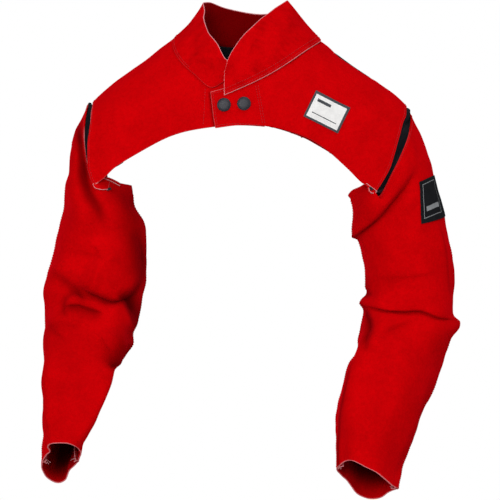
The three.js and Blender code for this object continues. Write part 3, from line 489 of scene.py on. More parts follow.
sleeveRight = {
    "corners": (76, -80), "swell": 9, "way": -1, "seamPale": 0.75,
    # loop: turn, x, y, z
    "loop": [
        (0, -239, 4, -88), (25, -241, -28, -103), (45, -242, -50, -130), (58, -240, -57, -158), (70, -233, -60, -194),
        (80, -227, -61, -208), (95, -219, -57, -203), (112, -210, -50, -203.5), (132, -198, -36, -208),
        (156, -184, -16, -210.5), (180, -175, 8, -212), (210, -179, 30, -213), (235, -191, 46, -213), (256, -206, 58, -212),
        (268, -213, 64, -205), (279, -217, 66, -188), (296, -230, 67, -160), (315, -241, 55, -132), (337, -241, 32, -104)],
    # sections: z, outer, inner, front, back, rise to the front, cant to the left, squareness (2 is an ellipse),
    # and how much wider the front is on the inner side
    "sections": [
        (-234, -273.5, -170, -72, 80, 0, -0.15, 2.0, 0), (-270, -280.5, -155, -72, 82, 0, 0, 2.0, 0),
        (-309, -291.5, -154, -70, 84, 0, 0, 2.0, 0), (-347, -304, -155.5, -68, 86, 0, 0, 2.0, 0),
        (-371, -307, -158, -68, 84, 0.05, 0, 2.1, 0), (-393, -304, -160.5, -74, 78, 0.12, 0, 2.2, 0),
        (-429, -303, -174, -88, 66, 0.25, 0, 2.8, 0.16), (-472, -300.5, -195, -110, 40, 0.36, 0, 4.0, 0.95),
        (-528, -296, -223, -146, 0, 0.48, 0, 6.5, 1.9), (-577, -296, -239, -172, -46, 0.57, 0, 6.5, 2.45),
        (-617, -296, -239, -192, -88, 0.63, 0, 4.5, 0.6)],
    "folds": [
        fold([(-206, -276), (-213, -260), (-221, -244), (-231, -228), (-238, -209), (-242, -184), (-246, -158),
              (-249, -130), (-250, -104)],
             26, 20, 2, 34, 1, (0.1, 1.1, 9, 6), wrap=-0.9, soft=True),
        fold([(-242, -363), (-226, -371), (-211, -378), (-195, -382), (-182, -377), (-171, -367), (-164, -353),
              (-161, -331), (-163, -309), (-169, -284)],
             27, 19, 6, 70, 6, (0.45, 1.0, 9, 9), wrap=-0.9, ends=0.08),
        fold([(-276, -308), (-245, -313), (-212, -319)], 10, 1.2, 0.8, 20, 0, (0.12, 0.06, 3, 6)),
        fold([(-231, -364), (-227, -346), (-224, -328)], 10, 1.2, 0.8, 16, 0, (0.2, 0.1, 4, 4)),
        fold([(-294, -336), (-274, -350), (-252, -367), (-237, -382)], 20, 8, 2, 30, 1, (0.25, 0.5, 6, 9), soft=True),
        fold([(-270, -391), (-249, -389), (-231, -394), (-210, -401)], 10, 6, 2, 14, 2, (0.6, 0.5, 4, 13)),
        fold([(-238, -378), (-255, -374), (-269, -386), (-267, -407)], 12, 5, 2, 14, 1, (0.3, 0.5, 4, 8), soft=True),
        fold([(-158, -446), (-168, -418), (-175, -400), (-190, -374)], 12, 14, 3, 40, 2, (0.9, 0.95, 3, 18), wrap=-0.9),
        fold([(-202, -475), (-190, -473), (-183, -467), (-177, -455), (-168, -438)],
             18, 15, 2, 40, 4, (0.85, 0.3, 15, 3), wrap=-0.9),
        fold([(-300, -404), (-285, -424), (-262, -440)], 14, 3, 2, 20, 1, (0.12, 0.12, 3, 6)),
        fold([(-292, -424), (-272, -412), (-246, -420)], 10, 2.5, 1.5, 12, 1, (0.12, 0.12, 3, 6)),
        fold([(-160, -376), (-230, -390), (-300, -380)], 26, 10, 4, 60, 4, side=-1),
        fold([(-168, -300), (-210, -286), (-250, -260)], 30, 7, 4, 60, 2, side=-1),
    ],
    "shadows": [
        shadow([(-206, -276), (-213, -260), (-221, -244), (-231, -228), (-238, -209), (-241, -190), (-243, -172)],
               (0.25, 0.75, 9, 7), wrap=-0.2),
        shadow([(-160, -440), (-167, -424), (-176, -394), (-185, -381), (-192, -372)],
               (0.8, 0.8, 2, 16), wrap=-0.9, ends=0.08),
        shadow([(-192, -482), (-181, -462), (-173, -440), (-167, -415)], (0.6, 0.35, 26, 8), wrap=-0.9, ends=0.1),
        shadow([(-158, -352), (-160, -325), (-162, -300), (-165, -275), (-168, -252), (-174, -232), (-182, -214)],
               (0.5, 0.5, 22, 10), wrap=-0.9),
        shadow([(-306, -430), (-272, -424), (-236, -420)], (0.25, 0.15, 12, 18)),
        shadow([(-272, -600), (-262, -540), (-248, -470), (-232, -420)], (0.12, 0.1, 60, 60)),
    ],
    # bumps: turn, z, reach in degrees and up and down in mm, lift
    "bumps": [
        (0, -188, 45, 20, 20, -5), (0, -136, 45, 14, 16, 3), (178, -406, 30, 14, 10, 1), (178, -449, 30, 12, 14, 5),
        (166, -474, 32, 10, 5, 6), (2, -560, 40, 20, 18, 4), (136, -574, 40, 24, 20, 4)],
    "facets": [],
    # rim of the cuff: turn, x, z
    "rim": [
        (0, -293.7, -608.6), (14, -288.8, -600.8), (27, -282.5, -594.5), (38, -283.5, -587.7), (50, -278.3, -582.3),
        (70, -270.8, -580.6), (90, -263.8, -580.4), (115, -249.8, -582.1), (135, -242, -586.4), (160, -237.8, -596.7),
        (180, -241.5, -608.6), (200, -248.2, -617), (222, -256.7, -628.1), (242, -263.4, -643.8), (258, -270, -648.2),
        (270, -277.3, -649.3), (292, -286.7, -645.3), (315, -293.9, -636.4), (340, -296.4, -619.9)],
    "seams": (186, 352), "steps": (215, 170), "seed": 31,
}
sleeveLeft = {
    "corners": (106, -106), "swell": 5, "way": 1, "seamPale": 0.08,
    "loop": [
        (0, 244, 4, -104), (30, 243, -26, -117), (55, 236, -56, -143), (75, 226, -67, -166), (95, 211, -71, -196),
        (108, 190.5, -67, -231), (118, 183, -61, -217), (130, 175, -55, -211), (145, 165, -42, -215.5), (162, 155, -20, -220),
        (180, 150, 2, -227), (200, 157, 26, -227), (218, 172, 46, -221), (236, 192, 60, -207), (250, 209, 66, -189),
        (270, 228, 68, -165), (300, 241, 57, -140), (330, 245, 32, -117)],
    "sections": [
        (-240, 289, 156, -78, 80, 0, 0.08, 2.0, 0), (-270, 297, 159, -76, 82, 0, 0, 2.1, 0),
        (-309, 305, 170, -74, 84, 0, 0, 2.2, 0), (-347, 309, 177, -74, 86, 0, 0, 2.2, 0),
        (-384, 308, 173, -76, 84, 0.04, 0, 2.2, 0), (-404, 306, 173, -82, 78, 0.1, 0, 2.3, 0),
        (-436, 302, 167, -92, 64, 0.24, -0.05, 2.7, 0), (-474, 290, 154, -106, 36, 0.38, -0.1, 3.2, 0),
        (-532, 260, 135, -134, -6, 0.54, -0.16, 3.6, 0), (-588, 234, 127, -156, -56, 0.64, -0.22, 3.6, 0),
        (-640, 216, 125, -168, -92, 0.75, -0.2, 3.4, 0)],
    "folds": [
        fold([(138, -300), (152, -293), (161, -288), (174, -275), (193, -257), (212, -233), (228, -214), (246, -192)],
             24, 16, 5, 50, 5, (0.95, 0.1, 4, 6), wrap=-0.9, ends=0.05),
        fold([(160, -384), (182, -392), (200, -397), (226, -398), (252, -398), (278, -407), (297, -411), (312, -414)],
             10, 7, 4, 24, 2, (0.5, 0.4, 2.5, 4), wrap=-0.6),
        fold([(184, -436), (212, -424), (240, -414)], 22, 2, 3, 30, 0, (0.1, 0.1, 6, 10)),
        fold([(168, -380), (179, -400), (182, -418), (170, -452)], 10, 12, 6, 34, 2, (0.9, 0.7, 3, 9)),
        fold([(160, -364), (172, -372), (182, -376)], 8, 3, 3, 14, 0, (0.6, 0.3, 4, 4), wrap=-0.9),
        fold([(184, -352), (230, -350), (276, -344)], 10, 1.2, 0.8, 20, 0, (0.1, 0.06, 4, 6)),
        fold([(312, -408), (240, -414), (168, -400)], 26, 9, 4, 60, 4, side=-1),
        fold([(296, -262), (240, -282), (190, -290)], 30, 7, 4, 60, 2, side=-1),
    ],
    "shadows": [
        shadow([(130, -630), (129.5, -610), (129.5, -594), (130.8, -571), (132.4, -548), (136, -525), (141, -502),
                (147.5, -479), (154, -460)],
               (0.8, 0.5, 1.4, 1.8), wrap=-0.9, ends=0.02),
        shadow([(173, -350), (175, -362), (178, -380)], (0.3, 0.8, 5, 5), wrap=-0.9),
        shadow([(284, -270), (288, -288), (293.5, -316), (297, -353), (299, -383)], (0.3, 0.3, 1.6, 2.2), wrap=-0.9),
    ],
    "bumps": [
        (0, -218, 40, 25, 25, -4), (2, -418, 34, 9, 15, 12), (178, -387, 30, 7, 8, 5), (176, -373, 30, 6, 6, -4),
        (180, -283, 34, 15, 7, 9), (180, -460, 34, 12, 12, -5)],
    # facets: a line that the front turns back along, slope and softness
    "facets": [([(168, -590), (209, -536), (226, -484), (231, -436)], 0.55, 6)],
    "rim": [
        (0, 216.1, -651.2), (20, 211.5, -647.9), (35, 206.2, -643.9), (52, 193.8, -633.1), (72, 181.4, -623.1),
        (95, 166.8, -615.8), (115, 156.8, -610.7), (138, 146.5, -607.8), (155, 139.4, -610), (172, 130.5, -617.7),
        (185, 126.8, -624.3), (205, 132.9, -633.8), (222, 140.7, -642.4), (235, 147.4, -651.8), (250, 157.7, -663.7),
        (268, 173.1, -670.3), (282, 183.3, -671), (300, 194.8, -667.9), (320, 203.5, -661.1), (340, 210.6, -655)],
    "seams": (176, 350), "steps": (215, 170), "seed": 47,
}
# dark, darkFrom, darkReach, litReach and lit: painted shade inside the sleeves, darkest deep up from the cuff and
# reaching farther on the side towards the key light; inside: how much of the darker inside colour, a painted shade, the
# inner face takes
sleeveCloth = {"foldsFrom": 0.06, "rimFrom": 0.8, "swell": 1.6, "swellLength": 85, "pucker": 0.5, "puckerLength": 32,
               "grooveDepth": 0.9, "groove": 1.1, "lapRise": 0.7, "lapAt": 3.5, "lap": 2.6, "arcMm": 1.15, "elbowRows": 0.09,
               "cuffPale": 0.62, "freePale": 0.85, "paleFrom": (42, 52), "inside": 0.25,
               "dark": 0.97, "darkFrom": 2, "darkReach": 46, "litReach": 90, "lit": (0.3, 0.9)}
seamColumns = np.array([-2.6, -1.7, -1.0, -0.5, 0, 0.5, 1.0, 1.7, 2.6])  # extra columns beside a seam, in degrees
foldForm = {"points": 120, "parts": 12, "before": -0.08, "fade": (0.78, 1.08), "turn": 0.6,
            "valleyOnRoll": 0.2, "valleyBeside": 0.6, "droopAt": 0.3, "droop": 0.4}
backSquare = 2.5  # the back of a sleeve is no squarer than this
bumpSquare = 2.6  # and a bump's slope up and down

def halfTurn(degrees):  # the same turn, from -180 up to 180
    return np.mod(degrees + 180, 360) - 180

def loopAt(turns, points, degrees):  # a closed curve through points that are given at turns
    place = np.interp(np.mod(degrees, 360), np.append(turns, 360), np.arange(len(turns) + 1))
    return curveThrough(points, place / len(turns), closed=True)

def sleeveBase(sleeve, along, degrees):
    # cubic curves down the sleeve, through the loop, a swelled head and a rounded oblong for each section.
    # the oblong's radius at a turn is (|cos|^n + |sin|^n)^(-1/n) of an ellipse's, with n its squareness
    turn = np.radians(degrees)
    columns = np.asarray(sleeve["sections"], float).T[..., None]
    z, outer, inner, front, behind, rise, cant, square, flare = columns
    square = np.where(np.sin(turn) > 0, square, np.minimum(square, backSquare))
    stretch = (np.abs(np.cos(turn)) ** square + np.abs(np.sin(turn)) ** square) ** (-1 / square)
    widened = 1 + flare * np.maximum(0, np.sin(turn)) ** 2 * (np.cos(turn) < 0)
    dx = (outer - inner) / 2 * np.cos(turn) * stretch * widened
    dy = (front - behind) / 2 * np.sin(turn) * stretch
    sections = np.stack([(outer + inner) / 2 + dx, (front + behind) / 2 + dy, z - rise * dy + cant * dx], -1)
    loop = np.asarray(sleeve["loop"], float)
    start = loopAt(loop[:, 0], loop[:, 1:], degrees)
    head = (start + sections[0]) / 2
    head[:, 0] += sleeve["swell"] * np.maximum(0, np.cos(turn)) * sleeve["way"]
    return curveThrough(np.concatenate([start[None], head[None], sections]), along)

def foldFrame(row, points, normals):
    # distance d from the fold line in the front view, positive on the side that rolls over it, the share
    # of the line's length, the way to its left, and how much of the fold is left at the ends and round the side
    line = frontCurve(row["line"], np.linspace(0, 1, foldForm["points"]))[:, ::2]
    tangents = unit(np.gradient(line, axis=0))
    lengths = lengthsAlong(line, 0)
    flat = points[..., ::2].reshape(-1, 2)
    nearest = np.empty(len(flat), int)
    for part in np.array_split(np.arange(len(flat)), foldForm["parts"]):
        nearest[part] = ((flat[part, None] - line[None]) ** 2).sum(-1).argmin(1)
    way = tangents[nearest]
    left = np.stack([-way[:, 1], way[:, 0]], -1)
    offset = flat - line[nearest]
    d = (offset * left).sum(-1)
    share = (lengths[nearest] + (offset * way).sum(-1)) / lengths[-1]
    fade = smooth(foldForm["before"], row["ends"], share) * (1 - smooth(*foldForm["fade"], share))
    facing = smooth(row["wrap"], row["wrap"] + foldForm["turn"], -row["side"] * normals[..., 1].ravel())
    return d, share, left, fade * facing

def foldShift(row, points, normals):
    # the roll is a quarter circle from the line up to its width, or a quarter sine where it is soft, then it fades;
    # the valley is a narrow dip at the line; the roll also droops over the line
    d, share, left, grown = foldFrame(row, points, normals)
    width = row["width"]
    k = np.clip(d / width, 0, 1)
    profile = np.sin(k * math.pi / 2) if row["soft"] else np.sqrt(1 - (1 - k) ** 2)
    roll = profile * (1 - smooth(width, width + row["reach"], d))
    narrow = np.where(d > 0, foldForm["valleyOnRoll"], foldForm["valleyBeside"]) * width
    valley = np.exp(-(d / narrow) ** 2)
    droop = np.exp(-((d / width - foldForm["droopAt"]) / foldForm["droop"]) ** 2) * row["hang"] * grown
    push = (row["lift"] * roll - row["sink"] * valley) * grown
    return np.stack([-left[:, 0] * droop, -row["side"] * push, -left[:, 1] * droop], -1).reshape(points.shape)

def foldShade(row, points, normals):  # painted shade: darkest on the line, falling off on the roll and in the shadow beside it
    d, share, left, grown = foldFrame(row, points, normals)
    start, end, onRoll, beside = row["shade"]
    darkest = start + (end - start) * np.clip(share, 0, 1)
    depth = darkest * np.exp(-(d / np.where(d > 0, onRoll, beside)) ** 2)
    return (depth * grown).reshape(points.shape[:2])

def facetShift(facet, points, normals):
    # right of the line the front turns back by the slope: slope * soft * ln(1 + e^(-d / soft))
    line, slope, soft = facet
    d, share, left, grown = foldFrame(shadow(line, None), points, normals)
    push = slope * soft * np.log1p(np.exp(np.clip(-d / soft, -30, 30))) * grown
    return np.stack([0 * push, push, 0 * push], -1).reshape(points.shape)

def bumpShift(bump, points, normals, degrees):  # a round rise on the side of the sleeve, out along its normals
    turn, z, width, above, below, lift = bump
    arc = halfTurn(degrees - turn) / width
    rise = points[..., 2] - z
    tall = np.where(rise > 0, rise / above, rise / below)
    return normals * (lift * np.exp(-arc[None] ** 2 - np.abs(tall) ** bumpSquare))[..., None]

def sleeveGrid(sleeve, along, degrees):
    base = sleeveBase(sleeve, along, degrees)
    normals = gridNormals(base, True)
    grown = smooth(0, sleeveCloth["foldsFrom"], along)[:, None, None]
    shifts = [foldShift(row, base, normals) for row in sleeve["folds"]]
    shifts += [bumpShift(bump, base, normals, degrees) for bump in sleeve["bumps"]]
    shifts += [facetShift(facet, base, normals) for facet in sleeve["facets"]]
    grid = base + sum(shifts) * grown
    soft = sleeveCloth["swell"] * ripple(base, sleeveCloth["swellLength"], sleeve["seed"])
    soft = soft + sleeveCloth["pucker"] * ripple(base, sleeveCloth["puckerLength"], sleeve["seed"] + 1)
    grid = grid + normals * (soft[..., None] * grown)
    turns, x, z = np.asarray(sleeve["rim"], float).T
    rim = loopAt(turns, np.stack([x, 0 * x, z], -1), degrees)
    shift = (rim - sleeveBase(sleeve, np.array([1.0]), degrees)[0]) * np.array([1, 0, 1])
    grid = grid + shift[None] * (smooth(sleeveCloth["rimFrom"], 1.0, along) ** 2)[:, None, None]
    for seam in sleeve["seams"]:  # a stitched seam: a narrow groove, and a low rise on its lapped side
        arc = halfTurn(degrees - seam) * sleeveCloth["arcMm"]
        groove = sleeveCloth["lapRise"] * np.exp(-((arc - sleeveCloth["lapAt"]) / sleeveCloth["lap"]) ** 2)
        groove = groove - sleeveCloth["grooveDepth"] * np.exp(-(arc / sleeveCloth["groove"]) ** 2)
        grid = grid + normals * (groove[None, :, None] * grown)
    return grid

def sleeveTurns(sleeve):  # even turns, with more columns beside the seams
    even = np.linspace(0, 360, sleeve["steps"][1], endpoint=False)
    turns = np.concatenate([even] + [np.mod(seamColumns + s, 360) for s in sleeve["seams"]])
    turns = np.unique(np.round(turns, 3))
    turns = turns[np.append(True, np.diff(turns) > 0.3)]
    return turns if sleeve["way"] < 0 else turns[::-1]

def makeSleeve(name, sleeve):
    sleeve["turns"] = sleeveTurns(sleeve)
    even = np.linspace(0, 1, sleeve["steps"][0])
    closer = sleeveCloth["elbowRows"] * np.sin((even - 0.5) * 2 * math.pi) * (1 - np.abs(2 * even - 1))
    sleeve["along"] = even - closer  # more rows about the elbow
    sleeve["grid"] = sleeveGrid(sleeve, sleeve["along"], sleeve["turns"])
    sleeve["normals"] = gridNormals(sleeve["grid"], True)
    turns = halfTurn(sleeve["turns"])
    seamed = (turns < sleeve["corners"][0]) & (turns > sleeve["corners"][1])
    seamPale = sleeve["seamPale"] * smooth(*sleeveCloth["paleFrom"], np.abs(turns))
    topPale = np.where(seamed, seamPale, sleeveCloth["freePale"])[None]
    base = sleeveBase(sleeve, sleeve["along"], sleeve["turns"])
    normals = gridNormals(base, True)
    # painted shade of the folds and of the shade-only lines
    shades = [foldShade(row, base, normals) for row in sleeve["folds"] if row["shade"]]
    shades += [foldShade(row, sleeve["grid"], sleeve["normals"]) for row in sleeve["shadows"]]
    shade = 1 - np.prod(1 - np.clip(np.stack(shades), 0, 1), axis=0)
    # painted shade inside the sleeve, deepening up from the cuff
    depth = lengthsAlong(sleeve["grid"], 0)
    depth = depth[-1:] - depth
    lit = smooth(*sleeveCloth["lit"], -normals[..., 0])
    reach = sleeveCloth["darkReach"] + sleeveCloth["litReach"] * lit  # longer on the side towards the key light
    dark = sleeveCloth["dark"] * smooth(0, 1, (depth - sleeveCloth["darkFrom"]) / reach)
    return addWall(name, sleeve["grid"], cloth["leather"], around=True, pale=(topPale, sleeveCloth["cuffPale"]),
                   inside=sleeveCloth["inside"], shade=shade, insideShade=dark)

sleeveRightPiece = makeSleeve("sleeveRight", sleeveRight)
sleeveLeftPiece = makeSleeve("sleeveLeft", sleeveLeft)
print("stage: sleeves", sleeveRight["grid"].shape, sleeveLeft["grid"].shape)

# gussets: cotton strips from the front of the armpit over the shoulder to its back,
# under the edge of the yoke and under the edge of the sleeve
gusset = {
    "steps": 240, "tuck": 6, "underFront": -(layer + 0.3), "underBack": back["offset"] - cloth["cotton"] - 1.6,
    "toBack": (0.3, 0.42), "clearFront": 2, "clearBack": 6, "clearFrom": (0.5, 0.65), "underSleeve": -(layer + 1.1),
    "ridge": (0.34, 0.46, 0.54, 0.7), "atRidge": 0.2, "ridgeOut": 2, "crown": 2.5,
    "run": 1 / 24, "arc": 2.9, "mostTuck": 0.6, "ranks": 19,
}

def gussetGrid(panel, sleeve):
    way = sleeve["way"]
    share = np.linspace(0, 1, gusset["steps"])
    frontPlaces = placesOn(panel["armhole"], shoulders["front"])[:-1]
    backPlaces = placesOn([(way * x, z) for x, z in back["armhole"]], shoulders["back"])[:-1][::-1]
    tip = np.array([[panel["armhole"][-1][0], 0, 0]], float)
    overFront, overBack = (through(np.concatenate(ends)) for ends in ((frontPlaces, tip), (tip, backPlaces)))
    places = cornerLine(overFront, overBack, 0.5, share)
    x, fall = places[:, 0], places[:, 1]
    under = gusset["underFront"] + (gusset["underBack"] - gusset["underFront"]) * smooth(*gusset["toBack"], share)
    clear = gusset["clearFront"] + (gusset["clearBack"] - gusset["clearFront"]) * smooth(*gusset["clearFrom"], share)
    inside = onForm(x - way * gusset["tuck"], fall, under)
    ridge = smooth(*gusset["ridge"][:2], share) * (1 - smooth(*gusset["ridge"][2:], share))
    edge = onForm(x + way * (clear + gusset["ridgeOut"] * ridge), fall, under + (gusset["atRidge"] - under) * ridge)
    front, behind = sleeve["corners"]
    turn = np.where(share < 0.5, front * (1 - 2 * share), behind * (2 * share - 1))
    top = sleeveBase(sleeve, np.array([0, gusset["run"]]), turn)
    run = top[1] - top[0]
    after, before = (sleeveBase(sleeve, np.array([0.0]), turn + arc)[0] for arc in (gusset["arc"], -gusset["arc"]))
    beside = after - before
    drop = unit(np.cross(beside, run)) * way * gusset["underSleeve"]
    tuck = np.minimum(gusset["mostTuck"], gusset["tuck"] / np.linalg.norm(run, axis=-1, keepdims=True))
    middle = (edge + top[0] + drop) / 2 + formNormal(x, fall) * gusset["crown"] * ridge[:, None]
    ranks = np.stack([inside, edge, middle, top[0] + drop, top[0] + run * tuck + drop])
    grid = curveThrough(ranks, np.linspace(0, 1, gusset["ranks"]))
    return grid if way > 0 else grid[:, ::-1]

gussetRightGrid = gussetGrid(frontRight, sleeveRight)
gussetLeftGrid = gussetGrid(frontLeft, sleeveLeft)
gussetRightPiece = addWall("gussetRight", gussetRightGrid, cloth["cotton"], pale=0.0)
gussetLeftPiece = addWall("gussetLeft", gussetLeftGrid, cloth["cotton"], pale=0.0)
print("stage: gussets", gussetRightGrid.shape)

# snaps: turned profiles of a domed cap on the placket, a post through both fronts and a disc behind.
# rim, dome: shares of the radius and the height; disc: radius and height behind the fronts
snap = {
    "places": (("snapOuter", -34.7, -98.5), ("snapInner", -5.7, -97)), "radius": 10.0, "height": 3.2, "seat": 0.15, "sides": 72,
    "rim": [(0.97, 0), (1, 0.078125), (1, 0.2), (0.975, 0.38), (0.93, 0.5), (0.895, 0.53), (0.872, 0.56)],
    "dome": (0.86, 0.62), "domePower": 0.9, "domeSteps": 13, "pole": 0.02,
    "disc": [(0.02, -1.3), (6.2, -1.3), (6.6, -1.0), (6.6, -0.2), (6.3, 0), (2.3, 0)], "behind": 0.3, "post": 2.3,
}

def spunShape(profile, sides):  # a profile of radius and height, turned about the height
    radius, height = np.asarray(profile, float).T
    turns = np.arange(sides) / sides * 2 * math.pi
    radius, height = radius[:, None], height[:, None]
    ring = np.stack(np.broadcast_arrays(radius * np.cos(turns), radius * np.sin(turns), height), -1)
    return ring.reshape(-1, 3), ringQuads(len(radius), sides, True)

def snapShape(x, z):
    r, h = snap["radius"], snap["height"]
    foot = layer + snap["seat"]
    behind = -cloth["leather"] - snap["behind"]
    arc = np.linspace(0, math.pi / 2, snap["domeSteps"] + 1)[1:]
    wide, low = snap["dome"]
    domeRadius = np.maximum(snap["pole"], r * wide * np.maximum(np.cos(arc), 0) ** snap["domePower"])
    dome = np.stack([domeRadius, foot + h * low + h * (1 - low) * np.sin(arc)], -1)
    rim = np.array(snap["rim"]) * np.array([r, h]) + np.array([0, foot])
    disc = np.array(snap["disc"]) + np.array([0, behind])
    verts, quads = spunShape(np.concatenate([disc, [(snap["post"], foot)], rim, dome]), snap["sides"])
    x = np.array([float(x)])
    fall = fallAt(x, z, shoulders["front"])
    out = formNormal(x, fall)[0]
    side = unit(np.cross(out, np.array([0, 0, 1.0])))
    rise = np.cross(side, out)
    at = onForm(x, fall, np.zeros(1))[0]
    return at + verts[:, :1] * side + verts[:, 1:2] * -rise + verts[:, 2:] * out, quads

snapPieces = [addMesh(name, *snapShape(x, z)) for name, x, z in snap["places"]]
print("stage: snaps")

# chest patch: a pale bordered rectangle with a plain bar and a line, laid askew on the left front
patch = {"x": 115, "z": -108, "width": 56, "height": 42, "angle": -26, "steps": 60, "bulge": 0.15}

def patchGrid():
    share = np.linspace(-0.5, 0.5, patch["steps"])
    right, up = np.meshgrid(share * patch["width"], share * patch["height"], indexing="ij")
    angle = math.radians(patch["angle"])
    cos, sin = math.cos(angle), math.sin(angle)
    x = patch["x"] + right * cos - up * sin
    z = patch["z"] + right * sin + up * cos
    return onForm(x, fallAt(x, z, shoulders["front"]), cloth["labelGap"] + cloth["label"])

patchPiece = addWall("chestPatch", patchGrid(), cloth["label"], pale=0.0, bulge=patch["bulge"])

# sleeve label: a woven rectangle with a frame line and a plain bar on the outer front of the left sleeve.
# corners: share of the sleeve's length and turn, from the top front round by the side to the bottom front;
# under: the lengths and turns of the leather that it is laid on
label = {"corners": ((0.114, 59), (0.117, 8), (0.222, 14), (0.252, 69)), "gap": 0.6, "steps": 60,
         "under": ((0.05, 0.35, 240), (85, -15, 200)), "bulge": 0.15}

def labelGrid():
    even = np.linspace(0, 1, label["steps"])
    across, down = even[None, :, None], even[:, None, None]
    topFront, topSide, bottomSide, bottomFront = np.array(label["corners"], float)
    top = topFront * (1 - across) + topSide * across
    bottom = bottomFront * (1 - across) + bottomSide * across
    spots = top * (1 - down) + bottom * down
    along, turns = (np.linspace(*span) for span in label["under"])
    whole = sleeveGrid(sleeveLeft, along, turns)
    normals = gridNormals(whole)
    row = np.interp(spots[..., 0], along, np.arange(len(along)))
    column = np.interp(-spots[..., 1], -turns, np.arange(len(turns)))
    low, left = np.floor(row).astype(int), np.floor(column).astype(int)
    share, part = (row - low)[..., None], (column - left)[..., None]

    def blended(g):  # between the four nearest vertices
        before = g[low, left] * (1 - share) + g[low + 1, left] * share
        beyond = g[low, left + 1] * (1 - share) + g[low + 1, left + 1] * share
        return before * (1 - part) + beyond * part

    return blended(whole) + unit(blended(normals)) * (label["gap"] + cloth["label"])

labelPiece = addWall("sleeveLabel", labelGrid(), cloth["label"], pale=0.0, bulge=label["bulge"])
print("stage: patch and label")

# seam allowances: narrow strips that stand inside the sleeves along their seams and show at the cuffs
allowance = {"from": 0.8, "width": 5.5, "lean": (-44, 48), "thickness": 1.4, "gap": 0.25, "beside": 0.9, "steps": 12,
             "bend": 0.45, "curl": 0.35, "wave": 0.12, "waves": 9, "pale": (0.2, 0.9, 0.8, 0.8)}

def sleeveLine(sleeve, degrees):  # one column of a sleeve at a turn, its normals and the way beside it
    spot = np.argmin(np.abs(halfTurn(sleeve["turns"] - degrees)))
    grid = sleeve["grid"]
    beside = unit(np.roll(grid, -1, 1) - np.roll(grid, 1, 1))
    return grid[:, spot], sleeve["normals"][:, spot], beside[:, spot]

def allowanceStrips(sleeve, name):
    pieces = []
    for place, seam in enumerate(sleeve["seams"]):
        keep = sleeve["along"] > allowance["from"]
        line, normals, beside = (part[keep] for part in sleeveLine(sleeve, seam))
        for lean in allowance["lean"]:
            reach = np.linspace(0.0, allowance["width"], allowance["steps"])
            angle = np.radians(lean) * (1 - allowance["bend"] + allowance["bend"] * reach / allowance["width"])
            curl = np.linspace(0, 1, len(line)) ** 3 * allowance["curl"]
            wave = 1 + allowance["wave"] * np.sin(np.linspace(0, allowance["waves"], len(line)) + lean)
            turnBy = (angle[None] * (1 + curl[:, None]))[..., None]
            start = line - normals * (cloth["leather"] + allowance["gap"]) + beside * math.copysign(allowance["beside"], lean)
            steps = reach[None, :, None] * wave[:, None, None]
            grid = start[:, None] - normals[:, None] * np.cos(turnBy) * steps + beside[:, None] * np.sin(turnBy) * steps
            title = f"{name}Allowance{place}{'a' if lean > 0 else 'b'}"
            pieces.append(addWall(title, grid if lean > 0 else grid[:, ::-1], allowance["thickness"], pale=allowance["pale"]))
    return pieces

allowancePieces = allowanceStrips(sleeveRight, "sleeveRight") + allowanceStrips(sleeveLeft, "sleeveLeft")
print("stage: seam allowances", len(allowancePieces))

# vent tongues: ends of the sleeve's facing that lie on its front under the armpit.
# pieces: the hidden root and the pale lip of each, as places of x and z
tongues = {
    "lapOut": 0.9, "off": 0.3, "thickness": 1.2, "steps": (10, 40), "pale": (0.2, 1.0, 0.9, 0.4), "bulge": 0.3,
    "pieces": {
        "sleeveRightTongueLow": ([(-225, -209), (-215, -203), (-205, -209)],
                                 [(-227.5, -213), (-225, -218), (-217, -221), (-206.5, -221)]),
        "sleeveRightTongueHigh": ([(-214, -201), (-203, -204), (-191, -210)],
                                  [(-213.5, -204), (-203, -208.5), (-191.5, -214.5)]),
    },
}
frontSide = {"facing": -0.15, "nearest": 6, "even": 1.0}  # which vertices count as the front, and how they are weighed

def onFront(sleeve, x, z):  # the front of a sleeve at places of x and z, as the mean of its nearest vertices, and its normals
    grid, normals = sleeve["grid"], sleeve["normals"]
    near = (normals[..., 1] < frontSide["facing"]) & (grid[..., 1] < 0)
    points, outs = grid[near], normals[near]
    far = (points[None, :, 0] - x.reshape(-1, 1)) ** 2 + (points[None, :, 2] - z.reshape(-1, 1)) ** 2
    pick = np.argsort(far, axis=1)[:, :frontSide["nearest"]]
    weight = 1 / (np.take_along_axis(far, pick, axis=1) + frontSide["even"])
    weight = (weight / weight.sum(1, keepdims=True))[..., None]
    y = (points[pick] * weight).sum(1)[:, 1].reshape(x.shape)
    return np.stack([x, y, z], -1), unit((outs[pick] * weight).sum(1)).reshape(x.shape + (3,))

def tonguePiece(name, edges, sleeve):
    down, across = (np.linspace(0, 1, steps) for steps in tongues["steps"])
    down = down[:, None, None]
    root, lip = (frontCurve(edge, across) for edge in edges)
    flat = root[None] * (1 - down) + lip[None] * down
    points, outs = onFront(sleeve, flat[..., 0], flat[..., 2])
    grid = points + outs * (tongues["thickness"] + tongues["off"] + tongues["lapOut"] * down ** 2)
    return addWall(name, grid, tongues["thickness"], pale=tongues["pale"], bulge=tongues["bulge"])

tonguePieces = [tonguePiece(name, edges, sleeveRight) for name, edges in tongues["pieces"].items()]
print("stage: vent tongues", len(tonguePieces))

# stitching: rows of thread at set distances inside the edges, and lines across the yoke.
# stitch: length, pitch and radius; seamTurn: degrees beside a seam, seamFrom: its first row of vertices
thread = {"stitch": (3.0, 3.9, 0.42), "lift": 0.1, "edgeRow": 3.4, "collarRows": (3.2, 8.4), "backRows": (4.0, 9.0),
          "seamTurn": 3.6, "seamFrom": 14}

def rowOf(line, normals, start=0.0, end=1.0):
    picks = slice(int(start * (len(line) - 1)), int(end * (len(line) - 1)) + 1)
    return stitchShapes(line[picks] + normals[picks] * thread["lift"], normals[picks], *thread["stitch"])

def edgeRow(grid, edge, away, start=0.0, end=1.0):
    return rowOf(*lineInside(grid, away, edge, gridNormals(grid)), start, end)

